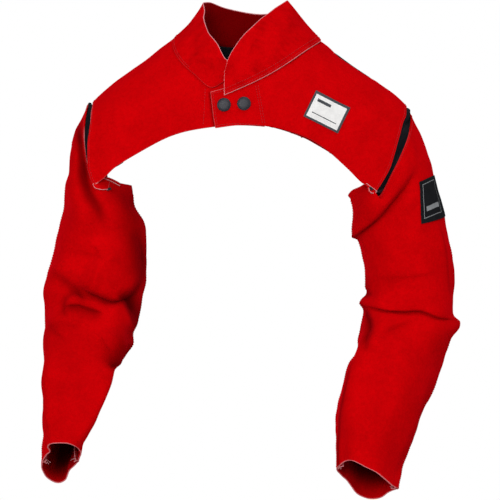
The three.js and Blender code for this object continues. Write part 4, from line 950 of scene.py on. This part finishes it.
def yokeLine(panel, points, lift=0.0):  # a line through places of x and z on a front panel, and its normals
    line = frontCurve(points, np.linspace(0, 1, 60))
    x, fall = line[:, 0], fallAt(line[:, 0], line[:, 2], shoulders["front"])
    return onForm(x, fall, lapRise(panel, x) + lift), formNormal(x, fall)

def yokeRow(panel, points):
    return rowOf(*yokeLine(panel, points))

def armholeRow(sleeve):  # along the sleeve's top edge, from corner to corner over the shoulder
    order = np.argsort(np.mod(sleeve["turns"] + 180, 360))
    turns = halfTurn(sleeve["turns"][order])
    order = order[(turns < sleeve["corners"][0]) & (turns > sleeve["corners"][1])]
    return rowOf(*lineInside(sleeve["grid"][:, order], thread["edgeRow"], "rowStart", sleeve["normals"][:, order]))

def seamRows(sleeve):  # beside each seam, from below the armhole
    columns = [sleeveLine(sleeve, seam + thread["seamTurn"]) for seam in sleeve["seams"]]
    return [rowOf(line[thread["seamFrom"]:], normals[thread["seamFrom"]:]) for line, normals, beside in columns]

yokeThread = joinShapes([
    edgeRow(frontLeftGrid, "rowStart", thread["edgeRow"]),
    edgeRow(frontLeftGrid, "columnStart", thread["edgeRow"], 0.0, 0.27),
    edgeRow(frontLeftGrid, "columnEnd", thread["edgeRow"], 0.0, 0.12),
    edgeRow(frontLeftGrid, "rowEnd", thread["edgeRow"]),
    edgeRow(frontRightGrid, "rowStart", thread["edgeRow"]),
    yokeRow(frontLeft, [(11.0, -71), (15, -92), (21, -126)]),
    yokeRow(frontLeft, [(14.6, -70), (18.5, -92), (24.5, -126)]),
    yokeRow(frontRight, [(-62, -74), (-63, -98), (-65, -127)]),
    edgeRow(collarPieceGrid, "rowStart", thread["collarRows"][0], 0.16, 1.0),
    edgeRow(collarPieceGrid, "rowStart", thread["collarRows"][1], 0.6, 1.0),
])
sleeveRightThread = joinShapes([armholeRow(sleeveRight)] + seamRows(sleeveRight))
sleeveLeftThread = joinShapes([armholeRow(sleeveLeft)] + seamRows(sleeveLeft))
backEdges = ("rowStart", "rowEnd", "columnStart")
backThread = joinShapes([edgeRow(backPanelGrid, edge, away) for edge in backEdges for away in thread["backRows"]])
redRows = {"yokeStitches": yokeThread, "sleeveRightStitches": sleeveRightThread, "sleeveLeftStitches": sleeveLeftThread}
threadPieces = [addMesh(name, *shape) for name, shape in redRows.items()]
backThreadPiece = addMesh("backStitches", *backThread)

# bar tacks: close rows of black thread across the ends of the gussets, and small ones at the two vents.
# column, towards: columns of the gusset between which the rows spread; way: a small tack's direction
tack = {"rows": 7, "column": 3, "towards": 12, "spread": 26, "lift": 0.1, "stitch": (3.2, 2.6, 0.5)}
ventTack = {"width": 5.5, "apart": 0.8, "rows": (-2, -1, 0, 1, 2), "points": 12, "lift": 0.25, "stitch": (4.4, 4.8, 0.45),
            "sleeve": (-206.0, -221.0), "sleeveWay": (1, 0, 0.3), "sleeveLift": 3,
            "front": (179.5, -219.0), "frontWay": (1, 0, -0.9)}

def barTack(grid, atStart):
    normals = gridNormals(grid)
    first, last = (tack["column"], tack["towards"]) if atStart else (-1 - tack["column"], -1 - tack["towards"])
    line, out = grid[:, first], normals[:, first]
    steps = [(grid[:, last] - line) * (k / tack["spread"]) for k in range(tack["rows"])]
    return joinShapes([stitchShapes(line + step + out * tack["lift"], out, *tack["stitch"]) for step in steps])

def tackAt(at, out, way):  # close rows at one place
    way = unit(np.array(way, float))
    side = unit(np.cross(out, way))
    t = np.linspace(-0.5, 0.5, ventTack["points"])[:, None] * ventTack["width"]
    rows = [at + way * t + side * k * ventTack["apart"] + out * ventTack["lift"] for k in ventTack["rows"]]
    return [stitchShapes(row, np.repeat(out[None], len(row), 0), *ventTack["stitch"]) for row in rows]

def ventTacks():
    x, z = (np.array([value]) for value in ventTack["sleeve"])
    at, out = onFront(sleeveRight, x, z)
    low = tackAt(at[0] + out[0] * ventTack["sleeveLift"], out[0], ventTack["sleeveWay"])
    x, z = (np.array([value]) for value in ventTack["front"])
    fall = fallAt(x, z, shoulders["front"])
    return low + tackAt(onForm(x, fall, np.zeros(1))[0], formNormal(x, fall)[0], ventTack["frontWay"])

gussetTacks = [barTack(grid, end) for grid in (gussetRightGrid, gussetLeftGrid) for end in (True, False)]
tackPiece = addMesh("barTacks", *joinShapes(gussetTacks + ventTacks()))

# thread ends: loose tails at the foot of each sleeve seam
tail = {"count": 3, "points": 12, "radius": 0.36, "depth": 2.2, "length": (7, 11), "inward": (0.6, 1.0), "beside": (-0.9, 0.9),
        "lean": (0, -0.2, -0.3), "sway": (-2, 2), "sag": -2.5}

def looseEnds(sleeve):
    tails = []
    rng = np.random.default_rng(sleeve["seed"])
    t = np.linspace(0, 1, tail["points"])[:, None]
    for seam in sleeve["seams"]:
        line, normals, beside = sleeveLine(sleeve, seam)
        for k in range(tail["count"]):
            way = -normals[-1] * rng.uniform(*tail["inward"]) + beside[-1] * rng.uniform(*tail["beside"])
            way = unit(way + np.array(tail["lean"]))
            bend = np.array([rng.uniform(*tail["sway"]), 0, tail["sag"]])
            path = line[-3] - normals[-3] * tail["depth"] + way * t * rng.uniform(*tail["length"]) + bend * t ** 2
            tails.append(tubeShape(path, tail["radius"]))
    return tails

tailPiece = addMesh("threadEnds", *joinShapes(looseEnds(sleeveRight) + looseEnds(sleeveLeft)))

# the frayed edge of the left front at the armpit, and the turned hem above it
frayed = {
    "lines": ([(172.6, -211.6), (180.3, -217.2), (185.4, -220.8), (188.6, -223)],
              [(176.4, -218), (177.2, -222.4), (179.5, -225), (183.1, -226.2), (186.3, -225.4), (188.6, -223)]),
    "radius": 0.5, "lift": 0.25,
}
frayedLines = [yokeLine(frontLeft, line, frayed["lift"])[0] for line in frayed["lines"]]
frayedPiece = addMesh("frontLeftFrayed", *joinShapes([tubeShape(line, frayed["radius"]) for line in frayedLines]))
print("stage: stitching")

# materials

def node(tree, kind, inputs=None, **settings):
    item = tree.nodes.new(kind)
    for key, value in settings.items():
        setattr(item, key, value)
    for key, value in (inputs or {}).items():
        if isinstance(value, bpy.types.NodeSocket):
            tree.links.new(value, item.inputs[key])
        else:
            item.inputs[key].default_value = value
    return item

def newGroup(name, inputs, outputs):
    group = bpy.data.node_groups.new(name, "ShaderNodeTree")
    for text, value in inputs:
        group.interface.new_socket(text, in_out="INPUT", socket_type="NodeSocketFloat").default_value = value
    for text in outputs:
        group.interface.new_socket(text, in_out="OUTPUT", socket_type="NodeSocketFloat")
    return group, group.nodes.new("NodeGroupInput").outputs, group.nodes.new("NodeGroupOutput").inputs

def sums(tree, operation, a, b=0.0, c=0.0):
    return node(tree, "ShaderNodeMath", {0: a, 1: b, 2: c}, operation=operation).outputs[0]

def ramp(tree, value, low, high, to0=0.0, to1=1.0):
    inputs = {"Value": value, "From Min": low, "From Max": high, "To Min": to0, "To Max": to1}
    return node(tree, "ShaderNodeMapRange", inputs, interpolation_type="SMOOTHSTEP").outputs[0]

def objectAt(tree):
    return node(tree, "ShaderNodeTexCoord").outputs["Object"]

def noise(tree, scale, detail, roughness=0.5):
    inputs = {"Vector": objectAt(tree), "Scale": scale, "Detail": detail, "Roughness": roughness}
    return node(tree, "ShaderNodeTexNoise", inputs).outputs[0]

def attribute(tree, name):
    return node(tree, "ShaderNodeAttribute", attribute_name=name).outputs["Fac"]

def clothMap(tree):  # the piece's own map, in metres
    return node(tree, "ShaderNodeSeparateXYZ", {0: node(tree, "ShaderNodeUVMap", uv_map="cloth").outputs[0]}).outputs

def opposite(tree, value):
    return sums(tree, "SUBTRACT", 1.0, value)

def mixColor(tree, share, a, b):
    item = tree.nodes.new("ShaderNodeMix")
    item.data_type = "RGBA"
    for socket, value in ((item.inputs[0], share), (item.inputs[6], a), (item.inputs[7], b)):
        if isinstance(value, bpy.types.NodeSocket):
            tree.links.new(value, socket)
        elif isinstance(value, tuple):
            socket.default_value = (*value, 1.0)
        else:
            socket.default_value = value
    return item.outputs[2]

# nap: cloudy patches where the nap lies one way or the other, and the fine nap itself
napInputs = (("Patch Size", 0.03), ("Tuft Size", 0.005), ("Nap Size", 0.0011))
napGroup, gi, go = newGroup("suedeNap", napInputs, ("Patches", "Tufts", "Nap", "Height"))
napNoises = (("Patch Size", 4.0, 0.62), ("Tuft Size", 3.0, 0.6), ("Nap Size", 3.0, 0.65))  # size, detail and roughness
patches, tufts, fine = (noise(napGroup, sums(napGroup, "DIVIDE", 1.0, gi[size]), *rest) for size, *rest in napNoises)
napGroup.links.new(ramp(napGroup, patches, 0.34, 0.66), go["Patches"])
napGroup.links.new(ramp(napGroup, tufts, 0.3, 0.7), go["Tufts"])
napGroup.links.new(ramp(napGroup, fine, 0.3, 0.7), go["Nap"])
napGroup.links.new(sums(napGroup, "MULTIPLY_ADD", tufts, 0.7, sums(napGroup, "MULTIPLY", fine, 0.5)), go["Height"])

# raw edge: the pale cut face and the thin scuffed line beside it
edgeGroup, gi, go = newGroup("rawEdge", (("Band", 0.8), ("Scuff", 7.0)), ("Mask", "Scuffed"))
paleness = attribute(edgeGroup, "edgePale")
rough = noise(edgeGroup, 160.0, 3.0)
ragged = sums(edgeGroup, "ADD", attribute(edgeGroup, "edgeDistance"), sums(edgeGroup, "MULTIPLY_ADD", rough, 0.9, -0.45))
broad = sums(edgeGroup, "MULTIPLY", gi["Band"], sums(edgeGroup, "MAXIMUM", paleness, 1.0))
strength = sums(edgeGroup, "MINIMUM", paleness, 1.0)
cut = opposite(edgeGroup, ramp(edgeGroup, ragged, 0.1, broad))
edgeGroup.links.new(sums(edgeGroup, "MULTIPLY", cut, strength), go["Mask"])
worn = opposite(edgeGroup, ramp(edgeGroup, ragged, 0.0, gi["Scuff"]))
edgeGroup.links.new(sums(edgeGroup, "MULTIPLY", worn, sums(edgeGroup, "MULTIPLY", strength, rough)), go["Scuffed"])

# weave: diagonal ribs of a twill, broken by the threads that cross them, on the piece's own map
weaveGroup, gi, go = newGroup("twillWeave", (("Pitch", 0.0009),), ("Height", "Tone"))
u, v = (sums(weaveGroup, "DIVIDE", way, gi["Pitch"]) for way in clothMap(weaveGroup)[:2])
ribs = sums(weaveGroup, "SINE", sums(weaveGroup, "MULTIPLY", sums(weaveGroup, "MULTIPLY_ADD", v, 0.5, u), 2 * math.pi))
crossing = sums(weaveGroup, "SINE", sums(weaveGroup, "MULTIPLY", v, 4 * math.pi))
height = sums(weaveGroup, "MULTIPLY_ADD", crossing, 0.3, sums(weaveGroup, "MULTIPLY_ADD", ribs, 0.4, 0.5))
weaveGroup.links.new(height, go["Height"])
slubs = sums(weaveGroup, "MULTIPLY", noise(weaveGroup, 55.0, 4.0), 0.8)
weaveGroup.links.new(sums(weaveGroup, "MULTIPLY_ADD", height, 0.35, slubs), go["Tone"])

def newMaterial(name, **sockets):
    material = bpy.data.materials.new(name)
    material.use_nodes = True
    tree = material.node_tree
    tree.nodes.clear()
    shader = node(tree, "ShaderNodeBsdfPrincipled", {key.replace("_", " "): value for key, value in sockets.items()})
    tree.links.new(shader.outputs[0], node(tree, "ShaderNodeOutputMaterial").inputs[0])
    return material, tree, shader

def useGroup(tree, group, **values):
    item = tree.nodes.new("ShaderNodeGroup")
    item.node_tree = group
    for key, value in values.items():
        item.inputs[key.replace("_", " ")].default_value = value
    return item.outputs

def dress(tree, shader, color, roughness, height, strength, distance):  # colour, roughness and bump of a material
    lumps = node(tree, "ShaderNodeBump", {"Height": height, "Strength": strength, "Distance": distance}).outputs[0]
    for key, value in (("Base Color", color), ("Roughness", roughness), ("Normal", lumps)):
        tree.links.new(value, shader.inputs[key])

# colours of the leather, its sheen, and the size of its patches in metres; inside is a darker colour for the inner
# faces, a painted shade, and paintedShadeAndMottleColor is what painted shade in creases and shadows, and the collar's
# mottle, darken towards
suede = {
    "bright": (0.6, 0.0002, 0.0014), "deep": (0.45, 0.0002, 0.0009), "pale": (0.74, 0.3, 0.32), "scuff": (0.7, 0.002, 0.006),
    "inside": (0.2, 0.0003, 0.001), "paintedShadeAndMottleColor": (0.06, 0.0001, 0.0003), "sheen": 0.45, "sheenTint": (1.0, 0.004, 0.015, 1.0),
    "patchSize": 0.034,
}

def suedeMaterial(name):
    material, tree, shader = newMaterial(name, Sheen_Weight=suede["sheen"], Sheen_Roughness=0.5, Sheen_Tint=suede["sheenTint"],
                                         Specular_IOR_Level=0.0)
    nap = useGroup(tree, napGroup, Patch_Size=suede["patchSize"])
    edge = useGroup(tree, edgeGroup)
    tone = sums(tree, "MULTIPLY_ADD", nap["Patches"], 0.5, sums(tree, "MULTIPLY", nap["Tufts"], 0.5))
    color = mixColor(tree, tone, suede["deep"], suede["bright"])
    color = mixColor(tree, sums(tree, "MULTIPLY", nap["Nap"], 0.3), color, suede["scuff"])
    color = mixColor(tree, sums(tree, "MULTIPLY", edge["Scuffed"], 0.5), color, suede["scuff"])
    # the inner faces are darker: a painted shade
    color = mixColor(tree, attribute(tree, "insideFace"), color, suede["inside"])
    # painted shade of the folds, of shadows beside edges and deep inside the sleeves, and the collar's random mottle
    color = mixColor(tree, attribute(tree, "paintedShadeAndMottle"), color, suede["paintedShadeAndMottleColor"])
    color = mixColor(tree, edge["Mask"], color, suede["pale"])
    dress(tree, shader, color, ramp(tree, nap["Nap"], 0.0, 1.0, 0.84, 0.98), nap["Height"], 0.35, 0.0007)
    return material

suedeLeather = suedeMaterial("suedeLeather")

def cottonMaterial(name, dark, light):
    material, tree, shader = newMaterial(name, Sheen_Weight=0.03, Sheen_Roughness=0.4, Specular_IOR_Level=0.1)
    weave = useGroup(tree, weaveGroup)
    color = mixColor(tree, ramp(tree, weave["Tone"], 0.2, 0.9), dark, light)
    dress(tree, shader, color, ramp(tree, weave["Height"], 0.0, 1.0, 0.95, 0.8), weave["Height"], 0.5, 0.0003)
    return material

blackCotton = cottonMaterial("blackCotton", (0.0018, 0.0022, 0.0036), (0.008, 0.009, 0.0125))

# grains: noise scale and detail, specular level, the noise and the roughness at both ends, and bump
twisted = {"scale": 900.0, "detail": 2.0, "specular": 0.3, "roughness": (0.2, 0.8, 0.6, 0.8), "bump": 0.4}
mottled = {"scale": 700.0, "detail": 4.0, "specular": 0.35, "roughness": (0.3, 0.7, 0.42, 0.56), "bump": 0.25}

def grainMaterial(name, grain, light, dark):
    material, tree, shader = newMaterial(name, Specular_IOR_Level=grain["specular"])
    value = noise(tree, grain["scale"], grain["detail"])
    color = mixColor(tree, ramp(tree, value, 0.3, 0.7), dark, light)
    dress(tree, shader, color, ramp(tree, value, *grain["roughness"]), value, grain["bump"], 0.0002)
    return material

redThread = grainMaterial("redThread", twisted, (0.6, 0.011, 0.018), (0.4, 0.003, 0.006))
blackThread = grainMaterial("blackThread", twisted, (0.02, 0.022, 0.028), (0.006, 0.007, 0.01))
paleThread = grainMaterial("paleThread", twisted, (0.78, 0.42, 0.44), (0.6, 0.22, 0.24))
snapEnamel = grainMaterial("snapEnamel", mottled, (0.023, 0.023, 0.033), (0.013, 0.013, 0.02))

def inBox(tree, uv, low, high):  # 1 inside a rectangle of the map, 0 outside
    past = [sums(tree, "GREATER_THAN", uv[k], low[k]) for k in (0, 1)]
    short = [sums(tree, "LESS_THAN", uv[k], high[k]) for k in (0, 1)]
    return sums(tree, "MULTIPLY", sums(tree, "MULTIPLY", *past), sums(tree, "MULTIPLY", *short))

# marks: rectangles on the map, as low and high corners in metres
patchMarks = {"field": ((0.003, 0.003), (0.039, 0.053)), "line": ((0.0105, 0.008), (0.0118, 0.048)),
              "bar": ((0.029, 0.008), (0.0335, 0.03))}

def patchMaterial():
    material, tree, shader = newMaterial("patchPrint", Specular_IOR_Level=0.25)
    uv = clothMap(tree)
    nap = useGroup(tree, napGroup, Patch_Size=0.012, Nap_Size=0.0008)
    field, line, bar = (inBox(tree, uv, *patchMarks[mark]) for mark in ("field", "line", "bar"))
    pale = mixColor(tree, nap["Patches"], (0.78, 0.77, 0.76), (0.86, 0.85, 0.84))
    dark = mixColor(tree, nap["Patches"], (0.045, 0.05, 0.058), (0.065, 0.07, 0.08))
    color = mixColor(tree, sums(tree, "SUBTRACT", field, sums(tree, "ADD", line, bar)), dark, pale)
    dress(tree, shader, color, ramp(tree, nap["Nap"], 0.0, 1.0, 0.6, 0.8), nap["Height"], 0.25, 0.0004)
    return material

patchPrint = patchMaterial()
labelMarks = {"outer": ((0.0055, 0.0055), (0.0505, 0.0565)), "inner": ((0.0065, 0.0065), (0.0495, 0.0555)),
              "bar": ((0.011, 0.04), (0.045, 0.047))}

def labelMaterial():
    material, tree, shader = newMaterial("wovenLabel", Specular_IOR_Level=0.1)
    uv = clothMap(tree)
    weave = useGroup(tree, weaveGroup, Pitch=0.0007)
    outer, inner, bar = (inBox(tree, uv, *labelMarks[mark]) for mark in ("outer", "inner", "bar"))
    black = mixColor(tree, weave["Tone"], (0.003, 0.0033, 0.0045), (0.013, 0.014, 0.017))
    grey = mixColor(tree, weave["Tone"], (0.2, 0.21, 0.22), (0.34, 0.35, 0.36))
    color = mixColor(tree, sums(tree, "ADD", sums(tree, "SUBTRACT", outer, inner), bar), black, grey)
    dress(tree, shader, color, ramp(tree, weave["Height"], 0.0, 1.0, 0.9, 0.75), weave["Height"], 0.5, 0.0003)
    return material

wovenLabel = labelMaterial()
print("stage: materials")

# what each piece is made of, stands for and belongs to
def place(pieces, material, slot, *nodes):
    for piece in pieces:
        piece.data.materials.append(material)
        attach(piece, "root")
        if nodes:
            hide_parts(*nodes)

place([frontRightPiece], suedeLeather, "suede_leather", "front_right")
place([frontLeftPiece], suedeLeather, "suede_leather", "front_left")
place([collarPiece], suedeLeather, "suede_leather", "collar")
place([sleeveRightPiece], suedeLeather, "suede_leather", "sleeve_right")
place([sleeveLeftPiece], suedeLeather, "suede_leather", "sleeve_left")
place([backPiece], blackCotton, "black_cotton", "back_panel")
place([gussetRightPiece], blackCotton, "black_cotton", "gusset_right")
place([gussetLeftPiece], blackCotton, "black_cotton", "gusset_left")
place(snapPieces[:1], snapEnamel, "snap_enamel", "snap_outer")
place(snapPieces[1:], snapEnamel, "snap_enamel", "snap_inner")
place([patchPiece], patchPrint, "patch_print", "chest_patch")
place([labelPiece], wovenLabel, "woven_label", "sleeve_label")
place(allowancePieces + tonguePieces, suedeLeather, "suede_leather")
place(threadPieces, redThread, "suede_leather")
place([tailPiece, frayedPiece], paleThread, "suede_leather")
place([tackPiece, backThreadPiece], blackThread, "black_cotton")

# studio: a pale floor that fades to white far from the garment, soft lights and a white surround
# lights: place, target, size and power
studio = {
    "floorZ": -1.45, "floorRings": (14, 7, 4.5, 3, 2, 1, 0.0001), "floorSides": 96, "floorTone": 0.86, "floorFade": (1.7, 3.6),
    "ambient": 0.16, "farGlow": 0.2,
    "lights": {
        "keyLight": ((-0.6, -3.25, 0.6), (0, 0, -0.3), 1.3, 57.5), "fillLight": ((2.7, -1.7, 0.2), (0, 0, -0.3), 1.8, 17.0),
        "sideLight": ((-2.7, -1.7, 0.1), (0, 0, -0.3), 1.8, 21.0), "topLight": ((0.7, -1.0, 2.4), (0.1, 0, -0.1), 1.6, 28.0),
    },
}

floorProfile = 1000 * np.array([(ring, studio["floorZ"]) for ring in studio["floorRings"]])
floor = addMesh("floor", *spunShape(floorProfile, studio["floorSides"]))
floorMaterial, tree, shader = newMaterial("paleFloor", Roughness=0.9, Specular_IOR_Level=0.1)
shader.inputs["Base Color"].default_value = (*(studio["floorTone"],) * 3, 1)
toCamera = node(tree, "ShaderNodeLightPath").outputs["Is Camera Ray"]
glowing = ramp(tree, toCamera, 0.0, 1.0, studio["farGlow"], 1.0)
glow = node(tree, "ShaderNodeEmission", {"Color": (1, 1, 1, 1), "Strength": glowing})
reach = node(tree, "ShaderNodeVectorMath", {0: objectAt(tree)}, operation="LENGTH").outputs["Value"]
fade = ramp(tree, reach, *studio["floorFade"])
shown = node(tree, "ShaderNodeMixShader", {0: fade, 1: shader.outputs[0], 2: glow.outputs[0]})
tree.links.new(shown.outputs[0], tree.nodes["Material Output"].inputs[0])
floor.data.materials.append(floorMaterial)

world = bpy.data.worlds.new("studio")
bpy.context.scene.world = world
world.use_nodes = True
tree = world.node_tree
tree.nodes.clear()
seen = node(tree, "ShaderNodeLightPath").outputs["Is Camera Ray"]
lit = node(tree, "ShaderNodeBackground", {"Color": (1, 1, 1, 1), "Strength": studio["ambient"]})
white = node(tree, "ShaderNodeBackground", {"Color": (1, 1, 1, 1), "Strength": 1.0})
both = node(tree, "ShaderNodeMixShader", {0: seen, 1: lit.outputs[0], 2: white.outputs[0]})
tree.links.new(both.outputs[0], node(tree, "ShaderNodeOutputWorld").inputs[0])

def areaLight(name, at, target, size, power):
    light = bpy.data.lights.new(name, "AREA")
    light.energy = power
    light.size = size
    obj = bpy.data.objects.new(name, light)
    away = np.asarray(at, float) - np.asarray(target, float)
    flatAway = math.hypot(away[0], away[1])
    obj.location = at
    obj.rotation_euler = (math.atan2(flatAway, away[2]), 0, math.atan2(away[0], -away[1]))
    bpy.context.scene.collection.objects.link(obj)

for name, settings in studio["lights"].items():
    areaLight(name, *settings)

camera = {"at": (0.003, -3.0, -0.309), "lens": 144.0, "sensor": 36.0}
cameraData = bpy.data.cameras.new("photoCamera")
cameraData.lens = camera["lens"]
cameraData.sensor_width = camera["sensor"]
cameraData.clip_end = 60
cameraObject = bpy.data.objects.new("photoCamera", cameraData)
cameraObject.location = camera["at"]
cameraObject.rotation_euler = (math.radians(90), 0, 0)
bpy.context.scene.collection.objects.link(cameraObject)
bpy.context.scene.camera = cameraObject
bpy.context.scene.view_settings.view_transform = "Standard"
bpy.context.scene.view_settings.look = "None"
print("stage: studio")
